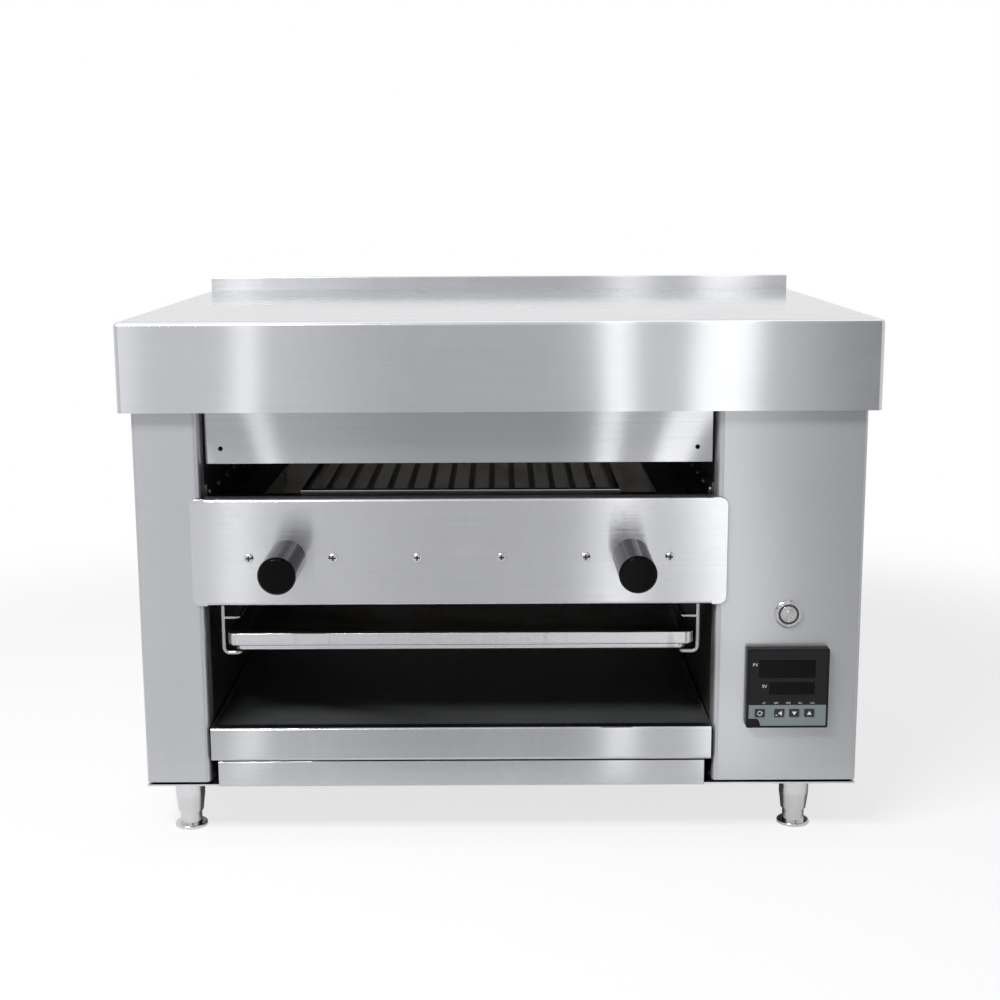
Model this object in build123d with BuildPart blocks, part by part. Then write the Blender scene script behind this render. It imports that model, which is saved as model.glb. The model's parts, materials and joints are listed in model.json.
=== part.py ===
from build123d import *
import os

os.makedirs("parts", exist_ok=True)

# Overall sizes in millimetres: +X right, -Y towards the user, +Z up, origin on the floor in the middle
hood_width = 650.0
hood_depth = 480.0
hood_height = 77.0
upstand_height = 14.5
upstand_thickness = 3.0
upstand_round = 1.35
body_height = 337.0
foot_height = 50.0
side_overhang = 9.0
front_overhang = 11.0
rear_overhang = 18.0
sheet = 1.5
bend = 3.0
hood_bend = 4.0
hem = 7.0
edge_round = 0.6
cut_over = 7.0

# Pillars, liner and front rails
left_pillar = 57.0
right_pillar = 128.0
return_depth = 23.0
pillar_bend = 5.0
rear_return = 22.0
casing_gap = 2.2
base_flange = 22.0
wiring_space = 62.0
liner_rise = 33.0
valance_drop = 49.0
valance_setback = 21.0
valance_side_gap = 2.5
valance_hole = 2.1
valance_hole_inset = 13.0
valance_hole_rise = 13.5
valance_hem = 10.0
rail_height = 23.0
rail_side_gap = 7.0
shelf_height = 46.5
shelf_setback = 5.0

# Heating gear under the hood
rod_radius = 5.0
rod_count = 6
rod_inset = 53.0
rod_rise = 1.0
rod_tail = 16.0
stud_radius = 2.0
stud_length = 10.0
bush_radius = 8.0
bush_flange = 11.0
bush_flange_thickness = 3.0
bush_tail = 6.0
loose = 0.3
insulation = 36.0
insulation_setback = 7.0
probe_radius = 3.0
probe_length = 40.0
probe_tail = 23.0
probe_drop = 37.0
probe_end_gap = 89.0
probe_nut = 7.0
probe_round = 1.5
probe_nut_length = 8.0

# Carriage that slides out with the shield panel and the grate
handle_length = 70.0
handle_radius = 16.0
handle_chamfer = 2.0
handle_spacing_share = 0.6416
panel_ear = 9.5
panel_height = 95.0
panel_thickness = 2.0
panel_gap = 0.5
panel_rise = 4.5
panel_corner_radius = 7.0
panel_flange = 12.0
panel_bend = 3.2
panel_flange_gap = 3.5
fixing_drop = 44.0
screw_count = 6
screw_pitch_share = 0.15687
screw_radius = 2.0
screw_play = 0.15
screw_head = 4.0
screw_head_height = 2.4
screw_head_top_share = 0.72
recess_width = 0.9
recess_length = 4.4
recess_depth = 1.1
bolt_radius = 4.0
bolt_play = 0.1
bolt_head = 6.5
bolt_head_height = 5.3
bolt_grip = 28.0
bar_thickness = 3.0
bar_height = 26.0
bar_end_gap = 8.0
arm_thickness = 2.5
arm_inset = 19.5
arm_drop = 84.0
arm_height = 53.0
arm_end_gap = 14.0
arm_shelf = 24.0
arm_foot = 11.0
cross_bar_width = 20.0
cross_bar_thickness = 4.0
cross_bar_setback = 75.0
cross_bar_end_gap = 69.0
grate_side_gap = 32.5
grate_setback = 55.0
grate_end_gap = 34.0
grate_bar = 10.0
grate_thickness = 8.0
grate_rod = 3.0
grate_rod_inset = 24.1
grate_rod_count = 14

# Rollers and guide rails of the carriage
guide_drop = 13.0
guide_depth = 18.0
guide_start = 26.0
guide_end_gap = 17.0
guide_tab = 17.0
guide_screw_rise = 20.5
guide_screw_count = 8
guide_screw_inset = 12.0
guide_screw_end_inset = 22.5
guide_screw_head = 3.5
guide_screw_head_height = 1.8
guide_screw_grip = 6.0
roller_radius = 10.0
roller_width = 9.0
roller_offset = 4.0
roller_end_gap = 31.0
roller_spacing = 80.0
pin_radius = 3.0
running_play = 0.05
pin_head = 4.8
pin_head_thickness = 1.3

# Tray on its wire hangers
wire_radius = 2.0
keeper_radius = 1.6
wire_bend = 5.0
wire_drop = 81.3
keeper_drop = 49.0
hanger_out = 6.5
hanger_foot = 15.0
hanger_front = 17.0
hanger_end_gap = 92.0
tray_side_gap = 2.0
tray_setback = 9.0
tray_end_gap = 80.0
tray_rim = 11.5
tray_inset = 5.0
tray_depth = 17.0
tray_metal = 1.2
tray_hem = 3.0
tray_hem_round = 2.4
tray_corner_radius = 8.0
tray_foot_round = 3.0

# Drip tray that pulls out over the floor shelf
lip_side_gap = 1.5
lip_proud = 2.5
lip_height = 31.0
lip_top_depth = 10.5
lip_return = 5.0
lip_bend = 3.0
drip_metal = 1.2
drip_rim = 5.0
drip_end_gap = 6.0

# Levelling feet
foot_left = 31.0
foot_right = 48.0
foot_front = 35.0
foot_rear = 45.0
sleeve_radius = 13.3
sleeve_tip_radius = 11.4
sleeve_straight = 20.0
sleeve_length = 35.0
sleeve_cap = 8.0
stem_radius = 9.8
stem_top = 38.0
flange_radius = 14.7
flange_height = 3.2
flange_round = 1.0

# Temperature controller in the right pillar
controller_height = 91.0
bezel_size = 72.0
bezel_depth = 9.0
bezel_round = 1.6
case_size = 66.0
case_depth = 74.0
case_play = 0.5
plate_size = 68.0
plate_thickness = 1.0
plate_sunk = 0.2
plate_play = 0.1
band_height = 19.0
window_depth = 0.8
window_shares = ((-0.0147, 0.2632, 0.7279, 0.2353), (0.0515, 0.0029, 0.5853, 0.1618))
window_play = 0.1
key_width = 8.5
key_height = 6.9
key_drop = 22.3
key_shares = {"key_set": -0.356, "key_shift": -0.103, "key_down": 0.09, "key_up": 0.285}
key_proud = 0.8
key_tail = 0.8
key_travel = 0.5
key_play = 0.15
key_round = 0.35
clamp_thickness = 4.0
clamp_length = 40.0
clamp_height = 14.0

# Push button above the controller
button_height = 156.5
button_flange = 12.25
button_flange_height = 2.6
button_chamfer = 0.9
button_barrel = 10.8
button_barrel_length = 26.0
button_hole = 11.0
button_bore = 7.6
button_bore_depth = 13.0
ring_radius = 8.95
ring_depth = 4.0
ring_play = 0.05
cap_radius = 7.3
cap_length = 9.0
cap_proud = 0.4
cap_round = 0.5
nut_radius = 15.0
nut_thickness = 4.0
nut_play = 0.1

# Electrical gear and rear fittings
gear_setback = 150.0
contactor_width = 45.0
contactor_depth = 76.0
contactor_height = 58.0
contactor_head_depth = 44.0
contactor_head_height = 20.0
terminal_width = 74.0
terminal_depth = 24.0
terminal_height = 20.0
terminal_count = 5
terminal_slot = 8.0
terminal_slot_depth = 9.0
terminal_pitch = 14.0
gear_gap = 34.0
gland_height = 60.0
gland_hole = 10.2
gland_barrel = 10.0
gland_barrel_length = 11.0
gland_hex = 14.0
gland_hex_thickness = 6.0
gland_dome = 11.0
gland_dome_length = 8.0
gland_bore = 5.0
gland_round = 2.6
vent_count = 12
vent_pitch = 26.0
vent_width = 6.0
vent_length = 44.0
vent_height_shares = (0.445, 0.89)
rear_screw_shares = (0.08, 0.37, 0.66, 0.94)
rear_screw_inset = 11.0

# Planes and levels that follow from the sizes
handle_reach = handle_length + panel_thickness + panel_gap - front_overhang
front_y = (handle_reach - hood_depth) / 2
rear_y = front_y + hood_depth
face_y = front_y + front_overhang
back_y = rear_y - rear_overhang
skirt_z = foot_height + body_height
top_z = skirt_z + hood_height
roof_z = top_z - sheet
floor_z = foot_height + sheet
casing_z = floor_z + casing_gap
body_half = hood_width / 2 - side_overhang
left_x = left_pillar - body_half
right_x = body_half - right_pillar
mid_x = (left_x + right_x) / 2
open_half = (right_x - left_x) / 2
control_x = (right_x + body_half) / 2
liner_front = face_y + return_depth
liner_back = back_y - wiring_space
liner_top = skirt_z + liner_rise
panel_width = 2 * (open_half + panel_ear)
panel_back = face_y - panel_gap
panel_front = panel_back - panel_thickness
arm_top_z = skirt_z - arm_drop
arm_bottom_z = arm_top_z - arm_height
fixing_z = arm_top_z - fixing_drop
panel_z = fixing_z + panel_rise
bar_back = panel_back + bar_thickness
arm_outer = open_half - arm_inset
arm_inner = arm_outer - arm_thickness
cross_top = arm_top_z - arm_thickness - loose
guide_z = arm_top_z - guide_drop
roller_inner = arm_outer + roller_offset
roller_outer = roller_inner + roller_width
rear_roller_y = liner_back - roller_end_gap
roller_ys = {"front": rear_roller_y - roller_spacing, "rear": rear_roller_y}
arm_end = liner_back - arm_end_gap
guide_ys = (face_y + guide_start, liner_back - guide_end_gap)
cross_bar_ys = (face_y + cross_bar_setback, liner_back - cross_bar_end_gap)
grate_ys = (face_y + grate_setback, liner_back - grate_end_gap)
grate_half = arm_inner - arm_shelf - grate_side_gap
grate_rod_half = grate_half - grate_rod_inset
hanger_outer = arm_outer + hanger_out
hanger_inner = hanger_outer - hanger_foot
hanger_ys = (face_y + hanger_front, liner_back - hanger_end_gap)
wire_z = arm_bottom_z - wire_drop
keeper_z = arm_bottom_z - keeper_drop
tray_width = 2 * (hanger_outer - wire_radius - tray_side_gap)
tray_ys = (face_y + tray_setback, liner_back - tray_end_gap)
tray_z = wire_z + wire_radius + loose
shelf_top = foot_height + shelf_height + sheet
drip_z = shelf_top + loose
drip_floor = drip_z + drip_metal
lip_top = drip_floor + drip_rim
controller_z = foot_height + controller_height
button_z = foot_height + button_height
bezel_front = face_y - bezel_depth
plate_front = bezel_front + plate_sunk
plate_back = plate_front + plate_thickness
rod_z = skirt_z + rod_rise
sides = {"left": -1, "right": 1}
screw_hole = screw_radius + screw_play
bolt_hole = bolt_radius + bolt_play
gland_z = foot_height + gland_height
probe_y = liner_back - probe_end_gap
probe_z = skirt_z - probe_drop
guide_screw_z = guide_z + guide_screw_rise
rear_screw_zs = [foot_height + body_height * share for share in rear_screw_shares]
key_xs = {name: control_x + plate_size * share for name, share in key_shares.items()}
key_z = controller_z - key_drop


def spread(first, last, count):
    # Even places from the first to the last
    return [first + (last - first) * i / (count - 1) for i in range(count)]


screw_reach = panel_width * screw_pitch_share * (screw_count - 1) / 2
screw_xs = spread(mid_x - screw_reach, mid_x + screw_reach, screw_count)
handle_reach_x = panel_width * handle_spacing_share / 2
handle_xs = {name: mid_x + side * handle_reach_x for name, side in sides.items()}
rod_ys = spread(liner_front + rod_inset, liner_back - rod_inset, rod_count)
grate_rod_xs = spread(mid_x - grate_rod_half, mid_x + grate_rod_half, grate_rod_count)
guide_screw_ends = (guide_ys[0] + guide_screw_inset, guide_ys[1] - guide_screw_end_inset)
guide_screw_ys = spread(*guide_screw_ends, guide_screw_count)


def save(builder, name):
    builder.part.label = name
    export_step(builder.part, f"parts/{name}.step")


def block(xs, ys, zs, mode=Mode.ADD):
    # One box between two values on each axis
    middle = ((xs[0] + xs[1]) / 2, (ys[0] + ys[1]) / 2, (zs[0] + zs[1]) / 2)
    with Locations(middle):
        Box(abs(xs[1] - xs[0]), abs(ys[1] - ys[0]), abs(zs[1] - zs[0]), mode=mode)


def rod_x(radius, xs, y, z, mode=Mode.ADD):
    # Round bar along X
    with Locations(Location(((xs[0] + xs[1]) / 2, y, z), (0, 90, 0))):
        Cylinder(radius, abs(xs[1] - xs[0]), mode=mode)


def rod_y(radius, ys, x, z, mode=Mode.ADD):
    # Round bar along Y
    with Locations(Location((x, (ys[0] + ys[1]) / 2, z), (90, 0, 0))):
        Cylinder(radius, abs(ys[1] - ys[0]), mode=mode)


def rod_z_axis(radius, zs, x, y, mode=Mode.ADD):
    # Round bar along Z
    with Locations((x, y, (zs[0] + zs[1]) / 2)):
        Cylinder(radius, abs(zs[1] - zs[0]), mode=mode)


def across(side, near, far):
    # Range along X on one side of the opening, from two distances off its middle
    return (mid_x + side * near, mid_x + side * far)


def straight(radius, start, end):
    # Round bar between two points
    with Locations(Plane((start + end) / 2, z_dir=end - start)):
        Cylinder(radius, (end - start).length)


def bent_wire(radius, places):
    # Round wire through the places, with a right-angle bend at each inner one
    corners = [Vector(*place) for place in places]
    start = corners[0]
    for before, corner, after in zip(corners, corners[1:], corners[2:]):
        into = (corner - before).normalized()
        out = (after - corner).normalized()
        bend_start = corner - into * wire_bend
        straight(radius, start, bend_start)
        with BuildSketch(Plane(bend_start, z_dir=into)) as section:
            Circle(radius)
        turn = Axis(bend_start + out * wire_bend, into.cross(out))
        revolve(section.sketch, axis=turn, revolution_arc=90)
        start = corner + out * wire_bend
    straight(radius, start, corners[-1])


# Top hood: folded box with a rear upstand, open below, with an inward hem
with BuildPart() as hood:
    block((-hood_width / 2, hood_width / 2), (front_y, rear_y), (skirt_z, top_z))
    corner_edges = hood.edges().filter_by(Axis.Z).sort_by(Axis.Y)[:2]
    fillet(corner_edges, hood_bend)
    rim_edges = hood.faces().sort_by(Axis.Z)[-1].edges().sort_by(Axis.Y)[:-1]
    fillet(rim_edges, hood_bend)
    offset(amount=-sheet, openings=hood.faces().sort_by(Axis.Z)[0])
    with BuildSketch(Plane.XY.offset(skirt_z)):
        with Locations((0, (front_y + rear_y) / 2)):
            Rectangle(hood_width - 2 * sheet, hood_depth - 2 * sheet)
            Rectangle(hood_width - 2 * sheet - 2 * hem, hood_depth - 2 * sheet - 2 * hem, mode=Mode.SUBTRACT)
    extrude(amount=sheet)
    with BuildSketch(Plane.XY.offset(skirt_z)):
        with Locations((0, (front_y + rear_y) / 2)):
            Rectangle(2 * hood_width, 2 * hood_depth)
        with Locations((0, front_y + (hood_depth + hood_bend) / 2)):
            Rectangle(hood_width, hood_depth - hood_bend, mode=Mode.SUBTRACT)
        with Locations((0, front_y + hood_depth / 2)):
            RectangleRounded(hood_width, hood_depth, hood_bend, mode=Mode.SUBTRACT)
    extrude(amount=sheet, mode=Mode.SUBTRACT)
    upstand_zs = (top_z - sheet, top_z + upstand_height)
    block((-hood_width / 2, hood_width / 2), (rear_y - upstand_thickness, rear_y), upstand_zs)
    fillet(hood.faces().sort_by(Axis.Z)[-1].edges().filter_by(Axis.X), upstand_round)
save(hood, "top_hood")

# Left casing: rear return, side wall, pillar face and front return folded from one sheet
with BuildPart() as left_casing:
    with BuildSketch(Plane.XY.offset(casing_z)):
        with BuildLine():
            FilletPolyline(
                (rear_return - body_half, back_y),
                (-body_half, back_y),
                (-body_half, face_y),
                (left_x, face_y),
                (left_x, liner_front),
                radius=(bend, bend, pillar_bend),
            )
            offset(amount=sheet, side=Side.LEFT)
        make_face()
    extrude(amount=roof_z - casing_z)
    for z in rear_screw_zs:
        place_x = rear_screw_inset - body_half
        rod_y(screw_hole, (back_y - cut_over, back_y + cut_over), place_x, z, Mode.SUBTRACT)
save(left_casing, "left_casing")

# Right casing: the same folds with the control cut-outs in its pillar face
with BuildPart() as right_casing:
    with BuildSketch(Plane.XY.offset(casing_z)):
        with BuildLine():
            FilletPolyline(
                (body_half - rear_return, back_y),
                (body_half, back_y),
                (body_half, face_y),
                (right_x, face_y),
                (right_x, liner_front),
                radius=(bend, bend, pillar_bend),
            )
            offset(amount=sheet, side=Side.RIGHT)
        make_face()
    extrude(amount=roof_z - casing_z)
    cut_half = case_size / 2 + case_play
    cut_xs = (control_x - cut_half, control_x + cut_half)
    cut_zs = (controller_z - cut_half, controller_z + cut_half)
    cut_ys = (face_y - cut_over, face_y + cut_over)
    block(cut_xs, cut_ys, cut_zs, Mode.SUBTRACT)
    rod_y(button_hole, cut_ys, control_x, button_z, Mode.SUBTRACT)
    for z in rear_screw_zs:
        place_x = body_half - rear_screw_inset
        rod_y(screw_hole, (back_y - cut_over, back_y + cut_over), place_x, z, Mode.SUBTRACT)
save(right_casing, "right_casing")

# Rear panel with vent slots, gland hole and screw holes
with BuildPart() as rear_panel:
    panel_ys = (back_y, back_y + sheet)
    block((bend - body_half, body_half - bend), panel_ys, (casing_z, roof_z))
    with BuildSketch(Plane.XZ.offset(-back_y - sheet)):
        for share in vent_height_shares:
            with Locations((mid_x, foot_height + body_height * share)):
                with GridLocations(vent_pitch, vent_length, vent_count, 1):
                    SlotOverall(vent_length, vent_width, rotation=90)
    extrude(amount=2 * sheet, mode=Mode.SUBTRACT)
    rod_y(gland_hole, (back_y - sheet, back_y + 2 * sheet), control_x, gland_z, Mode.SUBTRACT)
    for side in sides.values():
        for z in rear_screw_zs:
            place_x = side * (body_half - rear_screw_inset)
            hole_ys = (back_y - sheet, back_y + 2 * sheet)
            rod_y(screw_hole, hole_ys, place_x, z, Mode.SUBTRACT)
save(rear_panel, "rear_panel")

# Screws that hold the rear panel
with BuildPart() as rear_screws:
    for side in sides.values():
        for place_z in rear_screw_zs:
            place_x = side * (body_half - rear_screw_inset)
            rod_y(screw_radius, (back_y - sheet - screw_head, back_y + sheet), place_x, place_z)
            head_ys = (back_y + sheet, back_y + sheet + screw_head_height)
            rod_y(screw_head, head_ys, place_x, place_z)
            cut_ys = (back_y + sheet + screw_head_height - recess_depth, back_y + sheet + screw_head_height)
            for long_x, long_z in ((recess_length, recess_width), (recess_width, recess_length)):
                cut_xs = (place_x - long_x / 2, place_x + long_x / 2)
                block(cut_xs, cut_ys, (place_z - long_z / 2, place_z + long_z / 2), Mode.SUBTRACT)
save(rear_screws, "rear_screws")

# Base pan with turned-up flanges inside the casing
with BuildPart() as base_pan:
    block((-body_half, body_half), (face_y, back_y), (foot_height, floor_z))
    flange_zs = (floor_z, floor_z + base_flange)
    inner = body_half - sheet
    side_ys = (face_y + 2 * bend, back_y - 2 * bend)
    for side in sides.values():
        block((side * inner, side * (inner - sheet)), side_ys, flange_zs)
    block((2 * bend - inner, inner - 2 * bend), (back_y - 2 * sheet, back_y - sheet), flange_zs)
    front_xs = (left_x + rail_side_gap, right_x - rail_side_gap)
    block(front_xs, (face_y, face_y + sheet), (floor_z, floor_z + rail_height - 2 * bend))
save(base_pan, "base_pan")

# Front rail under the drip tray
with BuildPart() as front_rail:
    rail_xs = (left_x + rail_side_gap, right_x - rail_side_gap)
    block(rail_xs, (face_y - sheet, face_y), (foot_height, foot_height + rail_height))
    fillet(front_rail.faces().sort_by(Axis.Y)[0].edges(), edge_round)
save(front_rail, "front_rail")

# Valance that closes the front above the grate slot, with two open screw holes
with BuildPart() as valance:
    valance_y = face_y + valance_setback
    valance_z = skirt_z - valance_drop
    valance_xs = (left_x + valance_side_gap, right_x - valance_side_gap)
    block(valance_xs, (valance_y, valance_y + sheet), (valance_z, roof_z))
    block(valance_xs, (valance_y, valance_y + valance_hem), (valance_z, valance_z + sheet))
    fillet(valance.edges().filter_by(Axis.X).group_by(Axis.Y)[0].sort_by(Axis.Z)[0], edge_round)
    for edge_x, side in ((valance_xs[0], 1), (valance_xs[1], -1)):
        hole_ys = (valance_y - sheet, valance_y + 2 * sheet)
        hole_x = edge_x + side * valance_hole_inset
        rod_y(valance_hole, hole_ys, hole_x, valance_z + valance_hole_rise, Mode.SUBTRACT)
save(valance, "front_valance")

# Chamber side liners with holes for the guide screws, the rod bushes and the probe
for name, side in sides.items():
    with BuildPart() as liner:
        liner_xs = across(side, open_half, open_half + sheet)
        cut_xs = across(side, open_half - sheet, open_half + 2 * sheet)
        block(liner_xs, (liner_front, liner_back), (floor_z, liner_top))
        for y in guide_screw_ys:
            rod_x(screw_hole, cut_xs, y, guide_screw_z, Mode.SUBTRACT)
        for y in rod_ys:
            rod_x(bush_radius + running_play, cut_xs, y, rod_z, Mode.SUBTRACT)
        if name == "right":
            rod_x(probe_radius + loose, cut_xs, probe_y, probe_z, Mode.SUBTRACT)
    save(liner, f"{name}_liner")

# Rear liner of the chamber
with BuildPart() as rear_liner:
    block((left_x - sheet, right_x + sheet), (liner_back, liner_back + sheet), (floor_z, liner_top))
save(rear_liner, "rear_liner")

# Shelf under the drip tray
with BuildPart() as floor_shelf:
    block((left_x, right_x), (liner_front, liner_back), (shelf_top - sheet, shelf_top))
    shelf_xs = (left_x + rail_side_gap, right_x - rail_side_gap)
    block(shelf_xs, (face_y + shelf_setback, liner_front), (shelf_top - sheet, shelf_top))
    stiff_ys = (face_y + shelf_setback, face_y + shelf_setback + sheet)
    block(shelf_xs, stiff_ys, (shelf_top - base_flange / 2, shelf_top))
save(floor_shelf, "floor_shelf")

# Reflector sheet over the heating rods
with BuildPart() as reflector:
    reflector_ys = (liner_front, liner_back + sheet)
    block((left_x - sheet, right_x + sheet), reflector_ys, (liner_top, liner_top + sheet))
save(reflector, "reflector_plate")

# Insulation board on the reflector
with BuildPart() as board:
    board_zs = (liner_top + sheet, liner_top + sheet + insulation)
    block((left_x, right_x), (liner_front + insulation_setback, liner_back), board_zs)
save(board, "insulation_board")

# Sheathed heating rods with terminal studs
with BuildPart() as rods:
    for y in rod_ys:
        rod_x(rod_radius, (left_x - rod_tail, right_x + rod_tail), y, rod_z)
        rod_x(stud_radius, (left_x - rod_tail - stud_length, right_x + rod_tail + stud_length), y, rod_z)
save(rods, "heating_rods")

# Flanged ceramic bushes that carry the rods through the liners
with BuildPart() as bushes:
    for side in sides.values():
        for y in rod_ys:
            rod_x(bush_radius, across(side, open_half, open_half + bush_tail), y, rod_z)
            rod_x(bush_flange, across(side, open_half - bush_flange_thickness, open_half), y, rod_z)
            bore_xs = across(side, open_half - cut_over, open_half + rod_tail)
            rod_x(rod_radius + loose, bore_xs, y, rod_z, Mode.SUBTRACT)
save(bushes, "ceramic_bushes")

# Temperature probe through the right liner
with BuildPart() as probe:
    rod_x(probe_radius, (right_x - probe_length, right_x + probe_tail), probe_y, probe_z)
    fillet(probe.edges().sort_by(Axis.X)[0], probe_round)
    rod_x(probe_nut, (right_x + sheet, right_x + sheet + probe_nut_length), probe_y, probe_z)
    rod_x(probe_nut, (right_x - bush_flange_thickness, right_x), probe_y, probe_z)
save(probe, "temperature_probe")

# Guide rails: channels for the rollers with a screw tab above
with BuildPart() as guides:
    for side in sides.values():
        half_gap = roller_radius + loose
        web_zs = (guide_z - half_gap - sheet, guide_z + half_gap + sheet + guide_tab)
        block(across(side, open_half - sheet, open_half), guide_ys, web_zs)
        for level in (-1, 1):
            flange_zs = (guide_z + level * half_gap, guide_z + level * (half_gap + sheet))
            block(across(side, open_half - guide_depth, open_half), guide_ys, flange_zs)
        for y in guide_screw_ys:
            hole_xs = across(side, open_half - 2 * sheet, open_half + sheet)
            rod_x(screw_hole, hole_xs, y, guide_screw_z, Mode.SUBTRACT)
save(guides, "guide_rails")

# Screws along the guide rails
with BuildPart() as guide_screws:
    for side in sides.values():
        for y in guide_screw_ys:
            shank_xs = across(side, open_half - sheet, open_half + sheet + guide_screw_grip)
            rod_x(screw_radius, shank_xs, y, guide_screw_z)
            head_xs = across(side, open_half - sheet - guide_screw_head_height, open_half - sheet)
            rod_x(guide_screw_head, head_xs, y, guide_screw_z)
save(guide_screws, "guide_screws")

# Shield panel of the carriage with folded flanges between the pillars
flange_half = open_half - panel_flange_gap
with BuildPart() as shield:
    with BuildSketch(Plane.XZ.offset(-panel_back)):
        with Locations((mid_x, panel_z)):
            RectangleRounded(panel_width, panel_height, panel_corner_radius)
            Rectangle(2 * flange_half, panel_height, mode=Mode.SUBTRACT)
    extrude(amount=panel_thickness)
    ear_edges = shield.faces().sort_by(Axis.Y)[:2].edges()
    fillet(ear_edges.filter_by(lambda edge: abs(edge.center().X - mid_x) > flange_half + sheet), edge_round)
    panel_zs = (panel_z - panel_height / 2, panel_z + panel_height / 2)
    with BuildSketch(Plane.YZ.offset(mid_x - flange_half)):
        with BuildLine():
            FilletPolyline(
                (panel_back + panel_flange, panel_zs[1]),
                (panel_front, panel_zs[1]),
                (panel_front, panel_zs[0]),
                (panel_back + panel_flange, panel_zs[0]),
                radius=panel_bend,
            )
            offset(amount=panel_thickness, side=Side.LEFT)
        make_face()
    extrude(amount=2 * flange_half)
    through_ys = (panel_front - panel_thickness, panel_back + panel_thickness)
    for x in screw_xs:
        rod_y(screw_hole, through_ys, x, fixing_z, Mode.SUBTRACT)
    for x in handle_xs.values():
        rod_y(bolt_hole, through_ys, x, fixing_z, Mode.SUBTRACT)
save(shield, "shield_panel")

# Cross-recess screws of the shield panel
with BuildPart() as shield_screws:
    for x in screw_xs:
        rod_y(screw_radius, (panel_front, bar_back + bar_thickness), x, fixing_z)
        with Locations(Location((x, panel_front - screw_head_height / 2, fixing_z), (90, 0, 0))):
            Cone(screw_head, screw_head * screw_head_top_share, screw_head_height)
        cut_ys = (panel_front - screw_head_height, panel_front - screw_head_height + recess_depth)
        for long_x, long_z in ((recess_length, recess_width), (recess_width, recess_length)):
            cut_xs = (x - long_x / 2, x + long_x / 2)
            block(cut_xs, cut_ys, (fixing_z - long_z / 2, fixing_z + long_z / 2), Mode.SUBTRACT)
save(shield_screws, "shield_screws")

# Handles with a blind bore for their bolts
for name, x in handle_xs.items():
    with BuildPart() as handle:
        rod_y(handle_radius, (panel_front - handle_length, panel_front), x, fixing_z)
        chamfer(handle.faces().sort_by(Axis.Y)[0].edges(), handle_chamfer)
        fillet(handle.edges().filter_by(GeomType.CIRCLE).sort_by(Axis.Y)[:2], edge_round)
        rod_y(bolt_hole, (panel_front - bolt_grip - loose, panel_front), x, fixing_z, Mode.SUBTRACT)
    save(handle, f"handle_{name}")

# Bolts that hold the handles from behind
with BuildPart() as handle_bolts:
    for x in handle_xs.values():
        rod_y(bolt_radius, (panel_front - bolt_grip, bar_back), x, fixing_z)
        with BuildSketch(Plane.XZ.offset(-bar_back)):
            with Locations((x, fixing_z)):
                RegularPolygon(bolt_head, 6, major_radius=False)
        extrude(amount=-bolt_head_height)
save(handle_bolts, "handle_bolts")

# Front bar behind the shield panel
with BuildPart() as front_bar:
    bar_half = open_half - bar_end_gap
    bar_zs = (fixing_z - bar_height / 2, fixing_z + bar_height / 2)
    block((mid_x - bar_half, mid_x + bar_half), (panel_back, bar_back), bar_zs)
    through_ys = (panel_back - bar_thickness, bar_back + bar_thickness)
    for x in screw_xs:
        rod_y(screw_hole, through_ys, x, fixing_z, Mode.SUBTRACT)
    for x in handle_xs.values():
        rod_y(bolt_hole, through_ys, x, fixing_z, Mode.SUBTRACT)
save(front_bar, "carriage_front_bar")

# Side arms of the carriage: Z sections with roller pin holes
for name, side in sides.items():
    with BuildPart() as arm:
        arm_ys = (bar_back, arm_end)
        block(across(side, arm_inner, arm_outer), arm_ys, (arm_bottom_z, arm_top_z))
        shelf_ys = (panel_back + panel_flange + loose, arm_end)
        shelf_zs = (arm_top_z - arm_thickness, arm_top_z)
        block(across(side, arm_inner - arm_shelf, arm_outer), shelf_ys, shelf_zs)
        foot_zs = (arm_bottom_z, arm_bottom_z + arm_thickness)
        block(across(side, arm_inner, arm_outer + arm_foot), arm_ys, foot_zs)
        for y in roller_ys.values():
            hole_xs = across(side, arm_inner - arm_thickness, arm_outer + arm_thickness)
            rod_x(pin_radius + running_play, hole_xs, y, guide_z, Mode.SUBTRACT)
    save(arm, f"carriage_arm_{name}")

# Pins that carry the rollers
with BuildPart() as pins:
    for side in sides.values():
        for y in roller_ys.values():
            rod_x(pin_radius, across(side, arm_inner, roller_outer + loose), y, guide_z)
            rod_x(pin_head, across(side, arm_inner - pin_head_thickness, arm_inner), y, guide_z)
            rod_x(pin_head, across(side, arm_outer, roller_inner - loose), y, guide_z)
            end_xs = across(side, roller_outer + loose, roller_outer + loose + pin_head_thickness)
            rod_x(pin_head, end_xs, y, guide_z)
save(pins, "roller_pins")

# Rollers of the carriage
for name, side in sides.items():
    for place, y in roller_ys.items():
        with BuildPart() as roller:
            rod_x(roller_radius, across(side, roller_inner, roller_outer), y, guide_z)
            chamfer(roller.edges().filter_by(GeomType.CIRCLE), edge_round)
            rod_x(pin_radius + running_play, across(side, arm_outer, open_half), y, guide_z, Mode.SUBTRACT)
        save(roller, f"roller_{name}_{place}")

# Cross bars that carry the grate
with BuildPart() as cross_bars:
    for y in cross_bar_ys:
        bar_ys = (y - cross_bar_width / 2, y + cross_bar_width / 2)
        block((mid_x - arm_inner, mid_x + arm_inner), bar_ys, (cross_top - cross_bar_thickness, cross_top))
save(cross_bars, "carriage_cross_bars")

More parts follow.
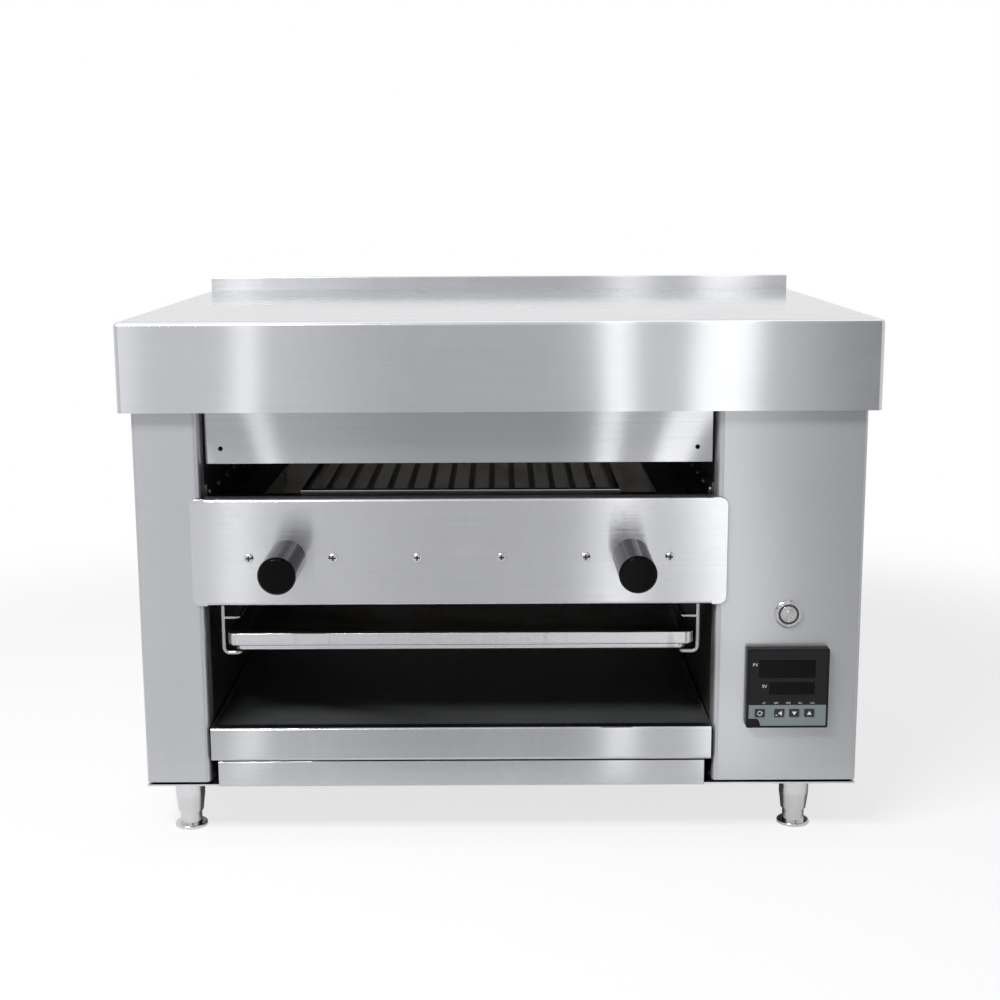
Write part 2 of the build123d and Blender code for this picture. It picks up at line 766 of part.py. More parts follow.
# Grate: flat frame with round rods from front to back
with BuildPart() as grate:
    grate_zs = (cross_top, cross_top + grate_thickness)
    block((mid_x - grate_half, mid_x + grate_half), grate_ys, grate_zs)
    inside_xs = (mid_x - grate_half + grate_bar, mid_x + grate_half - grate_bar)
    block(inside_xs, (grate_ys[0] + grate_bar, grate_ys[1] - grate_bar), grate_zs, Mode.SUBTRACT)
    fillet(grate.faces().sort_by(Axis.Z)[-1].edges(), edge_round)
    rod_ends = (grate_ys[0] + grate_bar / 2, grate_ys[1] - grate_bar / 2)
    for x in grate_rod_xs:
        rod_y(grate_rod, rod_ends, x, cross_top + grate_thickness / 2)
save(grate, "grill_grate")

# Bent wire hangers for the tray under the carriage, each with a thinner keeper wire above
near_y, far_y = hanger_ys
for name, side in sides.items():
    with BuildPart() as hanger:
        inner_x, outer_x = across(side, hanger_inner, hanger_outer)
        runner_places = (
            (outer_x, near_y, arm_bottom_z),
            (outer_x, near_y, wire_z),
            (inner_x, near_y, wire_z),
            (inner_x, far_y, wire_z),
            (outer_x, far_y, wire_z),
            (outer_x, far_y, arm_bottom_z),
        )
        bent_wire(wire_radius, runner_places)
        keeper_places = (
            (outer_x, near_y, keeper_z),
            (inner_x, near_y, keeper_z),
            (inner_x, far_y, keeper_z),
            (outer_x, far_y, keeper_z),
        )
        bent_wire(keeper_radius, keeper_places)
    save(hanger, f"tray_hanger_{name}")

# Tray that hangs under the carriage: shallow pan with a turned-down rim
with BuildPart() as tray:
    tray_y = (tray_ys[0] + tray_ys[1]) / 2
    tray_length = tray_ys[1] - tray_ys[0]
    pan_width = tray_width - 2 * tray_inset
    pan_length = tray_length - 2 * tray_inset
    with BuildSketch(Plane.XY.offset(tray_z)):
        with Locations((mid_x, tray_y)):
            RectangleRounded(pan_width, pan_length, tray_corner_radius)
    extrude(amount=tray_depth)
    fillet(tray.faces().sort_by(Axis.Z)[0].edges(), tray_foot_round)
    offset(amount=-tray_metal, openings=tray.faces().sort_by(Axis.Z)[-1])
    rim_z = tray_z + tray_depth
    with BuildSketch(Plane.XY.offset(rim_z - tray_metal)):
        with Locations((mid_x, tray_y)):
            RectangleRounded(tray_width, tray_length, tray_corner_radius)
            inner_width = pan_width - 2 * tray_metal
            inner_length = pan_length - 2 * tray_metal
            inner_corner = tray_corner_radius - tray_metal
            RectangleRounded(inner_width, inner_length, inner_corner, mode=Mode.SUBTRACT)
    extrude(amount=tray_metal)
    with BuildSketch(Plane.XY.offset(rim_z - tray_rim)):
        with Locations((mid_x, tray_y)):
            RectangleRounded(tray_width, tray_length, tray_corner_radius)
            skirt_width = tray_width - 2 * tray_metal
            skirt_length = tray_length - 2 * tray_metal
            RectangleRounded(skirt_width, skirt_length, inner_corner, mode=Mode.SUBTRACT)
    extrude(amount=tray_rim)
    hem_z = rim_z - tray_rim
    with BuildSketch(Plane.XY.offset(hem_z)):
        with Locations((mid_x, tray_y)):
            RectangleRounded(tray_width, tray_length, tray_corner_radius)
            hem_width = tray_width - 2 * tray_hem
            hem_length = tray_length - 2 * tray_hem
            RectangleRounded(hem_width, hem_length, tray_corner_radius - tray_hem, mode=Mode.SUBTRACT)
    extrude(amount=tray_hem)
    flat_faces = tray.faces().filter_by(Axis.Z)
    hem_face = flat_faces.filter_by(lambda face: abs(face.center().Z - hem_z) < edge_round)[0]
    fillet(hem_face.outer_wire().edges(), tray_hem_round)
    fillet(tray.faces().sort_by(Axis.Z)[-1].outer_wire().edges(), edge_round)
save(tray, "hanging_tray")

# Drip tray with a folded front lip
with BuildPart() as drip:
    drip_xs = (left_x + lip_side_gap, right_x - lip_side_gap)
    lip_front = face_y - lip_proud
    lip_inner = lip_front + lip_top_depth
    drip_end = liner_back - drip_end_gap
    block(drip_xs, (lip_inner - drip_metal, drip_end), (drip_z, drip_floor))
    block(drip_xs, (lip_inner - drip_metal, lip_inner), (drip_z, lip_top))
    with BuildSketch(Plane.YZ.offset(drip_xs[0])):
        with BuildLine():
            FilletPolyline(
                (lip_inner, lip_top),
                (lip_front, lip_top),
                (lip_front, lip_top - lip_height),
                (lip_front + lip_return, lip_top - lip_height),
                radius=lip_bend,
            )
            offset(amount=drip_metal, side=Side.LEFT)
        make_face()
    extrude(amount=drip_xs[1] - drip_xs[0])
    rim_zs = (drip_z, lip_top - edge_round)
    block((drip_xs[0], drip_xs[0] + drip_metal), (lip_inner - drip_metal, drip_end), rim_zs)
    block((drip_xs[1] - drip_metal, drip_xs[1]), (lip_inner - drip_metal, drip_end), rim_zs)
    block(drip_xs, (drip_end - drip_metal, drip_end), rim_zs)
save(drip, "drip_tray")

# Levelling feet: fixed sleeves under the base pan and a turning foot in each
foot_places = {
    "front_left": (foot_left - body_half, face_y + foot_front),
    "front_right": (body_half - foot_right, face_y + foot_front),
    "rear_left": (foot_left - body_half, back_y - foot_rear),
    "rear_right": (body_half - foot_right, back_y - foot_rear),
}
sleeve_z = foot_height - sleeve_length
with BuildPart() as sleeves:
    for x, y in foot_places.values():
        rod_z_axis(sleeve_radius, (foot_height - sleeve_straight, foot_height), x, y)
        taper = sleeve_length - sleeve_straight
        with Locations((x, y, sleeve_z + taper / 2)):
            Cone(sleeve_tip_radius, sleeve_radius, taper)
        bore_zs = (sleeve_z, foot_height - sleeve_cap)
        rod_z_axis(stem_radius + running_play, bore_zs, x, y, Mode.SUBTRACT)
save(sleeves, "foot_sleeves")
for name, (x, y) in foot_places.items():
    with BuildPart() as foot:
        rod_z_axis(flange_radius, (0, flange_height), x, y)
        fillet(foot.edges().filter_by(GeomType.CIRCLE), flange_round)
        rod_z_axis(stem_radius, (0, stem_top), x, y)
    save(foot, f"foot_{name}")

# Controller case: bezel in front of the panel, housing behind it
with BuildPart() as case:
    half = bezel_size / 2
    bezel_xs = (control_x - half, control_x + half)
    block(bezel_xs, (bezel_front, face_y), (controller_z - half, controller_z + half))
    fillet(case.edges().filter_by(Axis.Y), bezel_round)
    fillet(case.faces().sort_by(Axis.Y)[0].edges(), edge_round)
    half = case_size / 2
    case_xs = (control_x - half, control_x + half)
    block(case_xs, (face_y, face_y + case_depth), (controller_z - half, controller_z + half))
    half = plate_size / 2 + plate_play
    pocket_xs = (control_x - half, control_x + half)
    pocket_zs = (controller_z - half, controller_z + half)
    block(pocket_xs, (bezel_front - cut_over, plate_back), pocket_zs, Mode.SUBTRACT)
    for x in key_xs.values():
        half_x = key_width / 2 + key_play
        half_z = key_height / 2 + key_play
        well_xs = (x - half_x, x + half_x)
        well_zs = (key_z - half_z, key_z + half_z)
        well_ys = (plate_front, plate_back + key_tail + key_travel + key_play)
        block(well_xs, well_ys, well_zs, Mode.SUBTRACT)
save(case, "controller_case")

# Controller front: dark upper plate with two windows and a key band below
half_plate = plate_size / 2
plate_xs = (control_x - half_plate, control_x + half_plate)
band_top = controller_z - half_plate + band_height
windows = []
for x_share, z_share, wide_share, high_share in window_shares:
    window_x = control_x + plate_size * x_share
    window_z = controller_z + plate_size * z_share
    windows.append((window_x, window_z, plate_size * wide_share, plate_size * high_share))
with BuildPart() as face_plate:
    block(plate_xs, (plate_front, plate_back), (band_top, controller_z + half_plate))
    for x, z, wide, high in windows:
        half_x = wide / 2 + window_play
        half_z = high / 2 + window_play
        block((x - half_x, x + half_x), (plate_front, plate_back), (z - half_z, z + half_z), Mode.SUBTRACT)
save(face_plate, "controller_face")
with BuildPart() as band:
    block(plate_xs, (plate_front, plate_back), (controller_z - half_plate, band_top))
    for x in key_xs.values():
        half_x = key_width / 2 + key_play
        half_z = key_height / 2 + key_play
        hole_zs = (key_z - half_z, key_z + half_z)
        block((x - half_x, x + half_x), (plate_front, plate_back), hole_zs, Mode.SUBTRACT)
save(band, "controller_key_band")
with BuildPart() as lenses:
    for x, z, wide, high in windows:
        lens_zs = (z - high / 2, z + high / 2)
        block((x - wide / 2, x + wide / 2), (plate_back - window_depth, plate_back), lens_zs)
save(lenses, "display_windows")
for name, x in key_xs.items():
    with BuildPart() as key:
        cap_zs = (key_z - key_height / 2, key_z + key_height / 2)
        cap_ys = (plate_front - key_proud, plate_back + key_tail)
        block((x - key_width / 2, x + key_width / 2), cap_ys, cap_zs)
        fillet(key.edges().filter_by(Axis.Y), key_round)
        fillet(key.faces().sort_by(Axis.Y)[0].edges(), key_round)
    save(key, name)

# Clamps that hold the controller behind the pillar face
with BuildPart() as clamps:
    for side in sides.values():
        near = control_x + side * case_size / 2
        clamp_ys = (face_y + sheet, face_y + sheet + clamp_length)
        clamp_zs = (controller_z - clamp_height / 2, controller_z + clamp_height / 2)
        block((near, near + side * clamp_thickness), clamp_ys, clamp_zs)
save(clamps, "controller_clamps")

# Push button: flanged barrel, ring lens, moving cap and nut
with BuildPart() as button_body:
    rod_y(button_flange, (face_y - button_flange_height, face_y), control_x, button_z)
    chamfer(button_body.faces().sort_by(Axis.Y)[0].edges(), button_chamfer)
    rod_y(button_barrel, (face_y, face_y + button_barrel_length), control_x, button_z)
    button_front = face_y - button_flange_height
    rod_y(button_bore, (button_front, button_front + button_bore_depth), control_x, button_z, Mode.SUBTRACT)
    ring_ys = (button_front, button_front + ring_depth)
    rod_y(ring_radius + ring_play, ring_ys, control_x, button_z, Mode.SUBTRACT)
save(button_body, "button_body")
with BuildPart() as button_ring:
    rod_y(ring_radius, (button_front, button_front + ring_depth), control_x, button_z)
    rod_y(button_bore, (button_front, button_front + ring_depth), control_x, button_z, Mode.SUBTRACT)
save(button_ring, "button_ring")
with BuildPart() as button_cap:
    cap_ys = (button_front - cap_proud, button_front - cap_proud + cap_length)
    rod_y(cap_radius, cap_ys, control_x, button_z)
    fillet(button_cap.faces().sort_by(Axis.Y)[0].edges(), cap_round)
save(button_cap, "button_cap")
with BuildPart() as button_nut:
    with BuildSketch(Plane.XZ.offset(-face_y - sheet)):
        with Locations((control_x, button_z)):
            RegularPolygon(nut_radius, 6)
            Circle(button_barrel + nut_play, mode=Mode.SUBTRACT)
    extrude(amount=-nut_thickness)
save(button_nut, "button_nut")

# Contactor and terminal block on the base pan
with BuildPart() as contactor:
    gear_y = face_y + gear_setback
    gear_xs = (control_x - contactor_width / 2, control_x + contactor_width / 2)
    block(gear_xs, (gear_y, gear_y + contactor_depth), (floor_z, floor_z + contactor_height))
    head_y = gear_y + contactor_depth / 2
    head_ys = (head_y - contactor_head_depth / 2, head_y + contactor_head_depth / 2)
    head_zs = (floor_z + contactor_height, floor_z + contactor_height + contactor_head_height)
    block(gear_xs, head_ys, head_zs)
    fillet(contactor.edges().filter_by(Axis.Z), edge_round)
save(contactor, "contactor")
with BuildPart() as terminals:
    block_y = gear_y + contactor_depth + gear_gap
    block_xs = (control_x - terminal_width / 2, control_x + terminal_width / 2)
    block(block_xs, (block_y, block_y + terminal_depth), (floor_z, floor_z + terminal_height))
    for i in range(terminal_count):
        x = control_x + terminal_pitch * (i - (terminal_count - 1) / 2)
        slot_zs = (floor_z + terminal_height - terminal_slot_depth, floor_z + terminal_height)
        slot_xs = (x - terminal_slot / 2, x + terminal_slot / 2)
        block(slot_xs, (block_y, block_y + terminal_slot), slot_zs, Mode.SUBTRACT)
save(terminals, "terminal_block")

# Cable gland in the rear panel
with BuildPart() as gland:
    outer_y = back_y + sheet
    rod_y(gland_barrel, (back_y - gland_barrel_length, outer_y), control_x, gland_z)
    with BuildSketch(Plane.XZ.offset(-outer_y)):
        with Locations((control_x, gland_z)):
            RegularPolygon(gland_hex, 6)
    extrude(amount=-gland_hex_thickness)
    dome_ys = (outer_y + gland_hex_thickness, outer_y + gland_hex_thickness + gland_dome_length)
    rod_y(gland_dome, dome_ys, control_x, gland_z)
    fillet(gland.faces().sort_by(Axis.Y)[-1].edges(), gland_round)
    with BuildSketch(Plane.XZ.offset(-back_y)):
        with Locations((control_x, gland_z)):
            RegularPolygon(gland_hex, 6)
    extrude(amount=gland_hex_thickness)
    bore_ys = (back_y - 2 * gland_barrel_length, rear_y + cut_over)
    rod_y(gland_bore, bore_ys, control_x, gland_z, Mode.SUBTRACT)
save(gland, "cable_gland")
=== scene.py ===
import json
import math

import bmesh
import bpy
from mathutils import Matrix, Vector

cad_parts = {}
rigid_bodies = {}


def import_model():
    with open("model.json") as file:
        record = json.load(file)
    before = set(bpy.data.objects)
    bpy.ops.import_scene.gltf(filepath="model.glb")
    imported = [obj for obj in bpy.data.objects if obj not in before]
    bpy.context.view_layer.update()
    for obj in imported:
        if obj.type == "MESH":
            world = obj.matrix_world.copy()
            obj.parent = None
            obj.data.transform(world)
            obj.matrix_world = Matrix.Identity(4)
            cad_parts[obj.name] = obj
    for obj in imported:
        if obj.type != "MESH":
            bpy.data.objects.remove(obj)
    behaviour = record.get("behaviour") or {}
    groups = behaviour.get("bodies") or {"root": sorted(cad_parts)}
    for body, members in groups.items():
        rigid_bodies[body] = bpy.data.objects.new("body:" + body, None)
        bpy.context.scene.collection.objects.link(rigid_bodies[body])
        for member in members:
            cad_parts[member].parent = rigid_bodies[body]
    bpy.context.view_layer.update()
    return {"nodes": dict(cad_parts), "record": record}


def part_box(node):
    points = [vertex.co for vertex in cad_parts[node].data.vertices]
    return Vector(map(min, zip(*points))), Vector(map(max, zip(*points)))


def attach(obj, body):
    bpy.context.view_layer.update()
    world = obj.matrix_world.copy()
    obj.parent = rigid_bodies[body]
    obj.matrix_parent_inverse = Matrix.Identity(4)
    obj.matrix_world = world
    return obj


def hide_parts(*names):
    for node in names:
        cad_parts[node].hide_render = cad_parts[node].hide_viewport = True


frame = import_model()
nodes = frame["nodes"]
scene = bpy.context.scene
MM = 0.001
# How far a face has to look along an axis to count as facing that way
FACING = 0.7
# Narrow sampling width that keeps fine grain sharp in a bump
SHARP_GRAIN = 0.004
# Painted shade: how much darker brushed steel is drawn on faces that look down
UNDER_SHADE = 0.65
# Height of the waves in a sheet, on its upright faces and on its top
UPRIGHT_WAVES = 1.6 * MM
TOP_WAVES = 0.3 * MM
# Turning marks on the push button
RINGS_PER_METRE = 5200.0


# Shader building: numbers as sockets with operators, and one way to make any other node
class Channel:
    def __init__(self, finish, node, socket):
        self.finish = finish
        self.node = node
        self.socket = socket

    def of(self, name):
        return Channel(self.finish, self.node, self.node.outputs[name])

    def __add__(self, other):
        return self.finish.math("ADD", self, other)

    def __radd__(self, other):
        return self.finish.math("ADD", other, self)

    def __sub__(self, other):
        return self.finish.math("SUBTRACT", self, other)

    def __rsub__(self, other):
        return self.finish.math("SUBTRACT", other, self)

    def __mul__(self, other):
        return self.finish.math("MULTIPLY", self, other)

    def __rmul__(self, other):
        return self.finish.math("MULTIPLY", other, self)

    def __truediv__(self, other):
        return self.finish.math("DIVIDE", self, other)

    def __pow__(self, other):
        return self.finish.math("POWER", self, other)

    def __abs__(self):
        return self.finish.math("ABSOLUTE", self)

    def above(self, limit):
        return self.finish.math("GREATER_THAN", self, limit)

    def below(self, limit):
        return self.finish.math("LESS_THAN", self, limit)

    def most(self, other):
        return self.finish.math("MAXIMUM", self, other)

    def swing(self, amount):
        # Noise taken round its middle, as a change up and down
        return (self - 0.5) * amount

    def ease(self, low, high):
        settings = {"interpolation_type": "SMOOTHSTEP"}
        sockets = {"Value": self, "From Min": low, "From Max": high}
        return self.finish.node("ShaderNodeMapRange", settings, sockets)


class Finish:
    def __init__(self, name, tree=None):
        if tree is None:
            self.material = bpy.data.materials.new(name)
            self.material.use_nodes = True
            tree = self.material.node_tree
        self.tree = tree
        self.tree.nodes.clear()

    def node(self, kind, settings=None, sockets=None):
        made = self.tree.nodes.new(kind)
        for key, value in (settings or {}).items():
            setattr(made, key, value)
        for key, value in (sockets or {}).items():
            if isinstance(value, Channel):
                self.tree.links.new(value.socket, made.inputs[key])
            else:
                made.inputs[key].default_value = value
        first = made.outputs[0] if made.outputs else None
        return Channel(self, made, first)

    def math(self, operation, first, second=None):
        sockets = {0: first} if second is None else {0: first, 1: second}
        return self.node("ShaderNodeMath", {"operation": operation}, sockets)

    def place(self):
        return self.node("ShaderNodeTexCoord").of("Object")

    def split(self, vector):
        parts = self.node("ShaderNodeSeparateXYZ", None, {0: vector})
        return parts.of("X"), parts.of("Y"), parts.of("Z")

    def stretch(self, vector, factors):
        return self.node("ShaderNodeVectorMath", {"operation": "MULTIPLY"}, {0: vector, 1: factors})

    def shift(self, vector, offset):
        return self.node("ShaderNodeVectorMath", {"operation": "SUBTRACT"}, {0: vector, 1: offset})

    def noise(self, vector, scale, detail=3.0, rough=0.55, twist=0.0):
        sockets = {
            "Vector": vector, "Scale": scale, "Detail": detail, "Roughness": rough, "Distortion": twist,
        }
        return self.node("ShaderNodeTexNoise", None, sockets).of("Fac")

    def specks(self, vector, scale):
        return self.node("ShaderNodeTexVoronoi", None, {"Vector": vector, "Scale": scale}).of("Distance")

    def mix_colour(self, factor, first, second):
        return self.node("ShaderNodeMix", {"data_type": "RGBA"}, {0: factor, 6: first, 7: second}).of(2)

    def mix_vector(self, factor, first, second):
        return self.node("ShaderNodeMix", {"data_type": "VECTOR"}, {0: factor, 4: first, 5: second}).of(1)

    def tint(self, colour, level):
        # The colour made darker or lighter by a number
        grey = self.node("ShaderNodeCombineXYZ", None, {0: level, 1: level, 2: level})
        plain = colour if isinstance(colour, Channel) else colour[:3]
        return self.node("ShaderNodeVectorMath", {"operation": "MULTIPLY"}, {0: grey, 1: plain})

    def bump(self, height, distance, others=None):
        sockets = {"Height": height, "Distance": distance}
        sockets.update(others or {})
        return self.node("ShaderNodeBump", None, sockets)

    def surface(self, sockets):
        shader = self.node("ShaderNodeBsdfPrincipled", None, sockets)
        self.node("ShaderNodeOutputMaterial", None, {"Surface": shader})
        return self.material


# Steel finishes
def grain_of(f, place, lines_per_metre, run_per_metre):
    # Brush lines along X on the front, the back and the top, and along Y on the sides
    normal = f.node("ShaderNodeNewGeometry").of("True Normal")
    side = abs(f.split(normal)[0]).above(FACING)
    along_x = f.stretch(place, (run_per_metre, lines_per_metre, lines_per_metre))
    along_y = f.stretch(place, (lines_per_metre, run_per_metre, lines_per_metre))
    return f.noise(f.mix_vector(side, along_x, along_y), scale=1.0, detail=3.0, rough=0.6)


def brushed_shader(
        f, place, tone, gloss=0.05, haze=0.32, cut=0.07 * MM, bow=0.0, metal=1.0, hazy=0.30, lines=0.12):
    # A clear and a hazy reflection, both spread across the brush lines by the grain. Gloss and haze are their
    # roughness, hazy the share of the second, cut the depth of the grain, lines its contrast, and bow a twist
    # of the sheet that grows towards its ends
    normal = f.node("ShaderNodeNewGeometry").of("True Normal")
    top = abs(f.split(normal)[2]).above(FACING)
    coarse = grain_of(f, place, lines_per_metre=900.0, run_per_metre=5.0)
    fine = grain_of(f, place, lines_per_metre=2600.0, run_per_metre=14.0)
    cloud = f.noise(place, scale=6.0, detail=3.0, rough=0.5)
    smear = f.noise(f.stretch(place, (9.0, 9.0, 3.0)), scale=1.0, detail=4.0, rough=0.6, twist=0.6)
    level = 0.96 + coarse.swing(lines) + fine.swing(lines) + cloud.swing(0.05)
    # Painted shade on faces that look down
    level = level * (1.0 - f.split(normal)[2].below(-FACING) * UNDER_SHADE)
    height = (coarse * 0.6 + fine * 0.4) * (1.0 - top * 0.8)
    waves = f.noise(place, scale=3.5, detail=1.0, rough=0.4)
    sheet = waves * (UPRIGHT_WAVES - top * (UPRIGHT_WAVES - TOP_WAVES))
    if bow:
        x_place, _, z_place = f.split(place)
        sheet = sheet + (x_place - MID_X) ** 4.0 * (z_place - BOW_Z) * bow
    wavy = f.bump(sheet, 1.0)
    grain = f.bump(height, cut, {"Filter Width": SHARP_GRAIN, "Normal": wavy})
    colour = f.tint(tone, level)
    shaders = []
    for rough, change in ((gloss, 0.03), (haze, 0.12)):
        shaders.append(f.node("ShaderNodeBsdfPrincipled", None, {
            "Base Color": colour,
            "Metallic": metal,
            "Roughness": rough + smear.swing(change),
            "Normal": grain,
        }))
    share = hazy * (1.0 + smear.swing(0.8))
    return f.node("ShaderNodeMixShader", None, {0: share, 1: shaders[0], 2: shaders[1]})


def brushed_steel(name, tone, **look):
    f = Finish(name)
    shader = brushed_shader(f, f.place(), tone, **look)
    f.node("ShaderNodeOutputMaterial", None, {"Surface": shader})
    return f.material


def plain_steel(name, tone, rough, heat=0.0, soot=0.0):
    f = Finish(name)
    place = f.place()
    cloud = f.noise(place, scale=9.0, detail=4.0, rough=0.6)
    fine = f.noise(place, scale=420.0, detail=2.0, rough=0.6)
    stain = f.noise(place, scale=21.0, detail=5.0, rough=0.65, twist=0.8)
    browned = (tone[0] * 0.72, tone[1] * 0.58, tone[2] * 0.44, 1.0)
    warm = f.mix_colour(stain.ease(0.45, 0.75) * heat, tone, browned)
    level = 0.94 + cloud.swing(0.16) + fine.swing(0.08) - stain.ease(0.5, 0.8) * soot
    roughness = rough + cloud.swing(0.14) + fine.swing(0.06)
    return f.surface({
        "Base Color": f.tint(warm, level),
        "Metallic": 1.0,
        "Roughness": roughness,
        "Normal": f.bump(fine, 0.012 * MM),
    })


STEEL = (0.655, 0.664, 0.688, 1.0)
LIP_STEEL = (0.535, 0.545, 0.562, 1.0)
LIP_DEPTH = 10.5 * MM
TRAY_RIM = 5.5 * MM
# Middle and height at which the valance's bow is nothing
valance_low, valance_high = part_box("front_valance")
MID_X = (valance_low.x + valance_high.x) / 2
BOW_Z = valance_low.z + 73.6 * MM


def drip_tray_finish():
    # Bright folded lip in front and a dark, speckled floor behind it
    f = Finish("drip_steel")
    place = f.place()
    lip_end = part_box("drip_tray")[0].y + LIP_DEPTH
    floor = f.split(place)[1].above(lip_end)
    cloud = f.noise(place, scale=8.0, detail=4.0, rough=0.6)
    fine = f.noise(place, scale=700.0, detail=2.0, rough=0.6)
    crumb = f.specks(place, 260.0).below(0.06) * f.noise(place, scale=30.0, detail=2.0).above(0.54)
    dark = f.node("ShaderNodeBsdfPrincipled", None, {
        "Base Color": f.tint((0.145, 0.152, 0.160, 1.0), 0.85 + cloud.swing(0.6) + crumb * 2.5),
        "Metallic": 0.6,
        "Roughness": 0.36 + cloud.swing(0.25),
        "Normal": f.bump(fine, 0.02 * MM),
    })
    lip = brushed_shader(f, place, LIP_STEEL)
    both = f.node("ShaderNodeMixShader", None, {0: floor, 1: lip, 2: dark})
    f.node("ShaderNodeOutputMaterial", None, {"Surface": both})
    return f.material


def hanging_tray_finish():
    # Bright rolled rim and a pan that has been browned a little by heat
    f = Finish("tray_steel")
    place = f.place()
    low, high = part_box("hanging_tray")
    x_place, y_place, _ = f.split(place)
    half_x = (high.x - low.x) / 2 - TRAY_RIM
    half_y = (high.y - low.y) / 2 - TRAY_RIM
    inside_x = abs(x_place - (low.x + high.x) / 2).below(half_x)
    inside_y = abs(y_place - (low.y + high.y) / 2).below(half_y)
    pan = inside_x * inside_y
    cloud = f.noise(place, scale=12.0, detail=5.0, rough=0.62, twist=0.5)
    fine = f.noise(place, scale=500.0, detail=2.0, rough=0.6)
    dent = f.noise(f.stretch(place, (42.0, 10.0, 10.0)), scale=1.0, detail=2.0, rough=0.5)
    rim = f.tint(STEEL, 0.96 + fine.swing(0.12) - dent.ease(0.62, 0.75) * 0.25)
    burnt = f.mix_colour(cloud.ease(0.4, 0.7), (0.22, 0.22, 0.22, 1.0), (0.15, 0.125, 0.10, 1.0))
    return f.surface({
        "Base Color": f.mix_colour(pan, rim, burnt),
        "Metallic": 1.0,
        "Roughness": 0.22 + fine.swing(0.08) + pan * (0.05 + cloud * 0.15),
        "Normal": f.bump(dent * 0.7 + fine * 0.05, 0.2 * MM),
    })


def spun_metal_finish():
    # Concentric turning marks round the middle of the push button
    f = Finish("button_metal")
    low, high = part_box("button_body")
    middle = ((low.x + high.x) / 2, 0.0, (low.z + high.z) / 2)
    place = f.place()
    x_off, _, z_off = f.split(f.shift(place, middle))
    radius = (x_off * x_off + z_off * z_off) ** 0.5
    outwards = f.node("ShaderNodeCombineXYZ", None, {0: radius * RINGS_PER_METRE, 1: 0.0, 2: 0.0})
    rings = f.noise(outwards, scale=1.0, detail=2.0, rough=0.6)
    return f.surface({
        "Base Color": f.tint((0.62, 0.62, 0.625, 1.0), 0.9 + rings.swing(0.4)),
        "Metallic": 1.0,
        "Roughness": 0.16 + rings.swing(0.12),
        "Normal": f.bump(rings, 0.13 * MM, {"Filter Width": SHARP_GRAIN}),
    })


# Plastic and other finishes
def plastic(name, colour, rough, pits=1100.0, depth=0.01 * MM, coat=0.0, shine=0.5):
    f = Finish(name)
    place = f.place()
    pit = f.noise(place, scale=pits, detail=2.0, rough=0.6)
    cloud = f.noise(place, scale=38.0, detail=3.0, rough=0.55)
    return f.surface({
        "Base Color": f.tint(colour, 0.92 + pit.swing(0.16) + cloud.swing(0.2)),
        "Roughness": rough + cloud.swing(0.12) + pit.swing(0.05),
        "Specular IOR Level": shine,
        "Coat Weight": coat,
        "Coat Roughness": 0.06,
        "Normal": f.bump(pit, depth),
    })


def chalky(name, colour, rough, lumps, depth):
    f = Finish(name)
    place = f.place()
    lump = f.noise(place, scale=lumps, detail=5.0, rough=0.65)
    stain = f.noise(place, scale=24.0, detail=4.0, rough=0.6)
    aged = (colour[0] * 0.8, colour[1] * 0.72, colour[2] * 0.6, 1.0)
    shade = f.mix_colour(stain.ease(0.5, 0.8) * 0.5, colour, aged)
    return f.surface({
        "Base Color": f.tint(shade, 0.94 + lump.swing(0.2)),
        "Roughness": rough,
        "Normal": f.bump(lump, depth),
    })


def smoked_window():
    f = Finish("display_dark")
    place = f.place()
    haze = f.noise(place, scale=60.0, detail=3.0, rough=0.6)
    return f.surface({
        "Base Color": f.tint((0.0022, 0.0024, 0.0026, 1.0), 0.8 + haze * 0.5),
        "Roughness": 0.16 + haze.swing(0.06),
        "Specular IOR Level": 0.1,
    })


def print_ink(name, colour):
    f = Finish(name)
    place = f.place()
    wear = f.noise(place, scale=900.0, detail=3.0, rough=0.6)
    return f.surface({
        "Base Color": f.tint(colour, 0.9 + wear.swing(0.3)),
        "Roughness": 0.45 + wear.swing(0.2),
    })


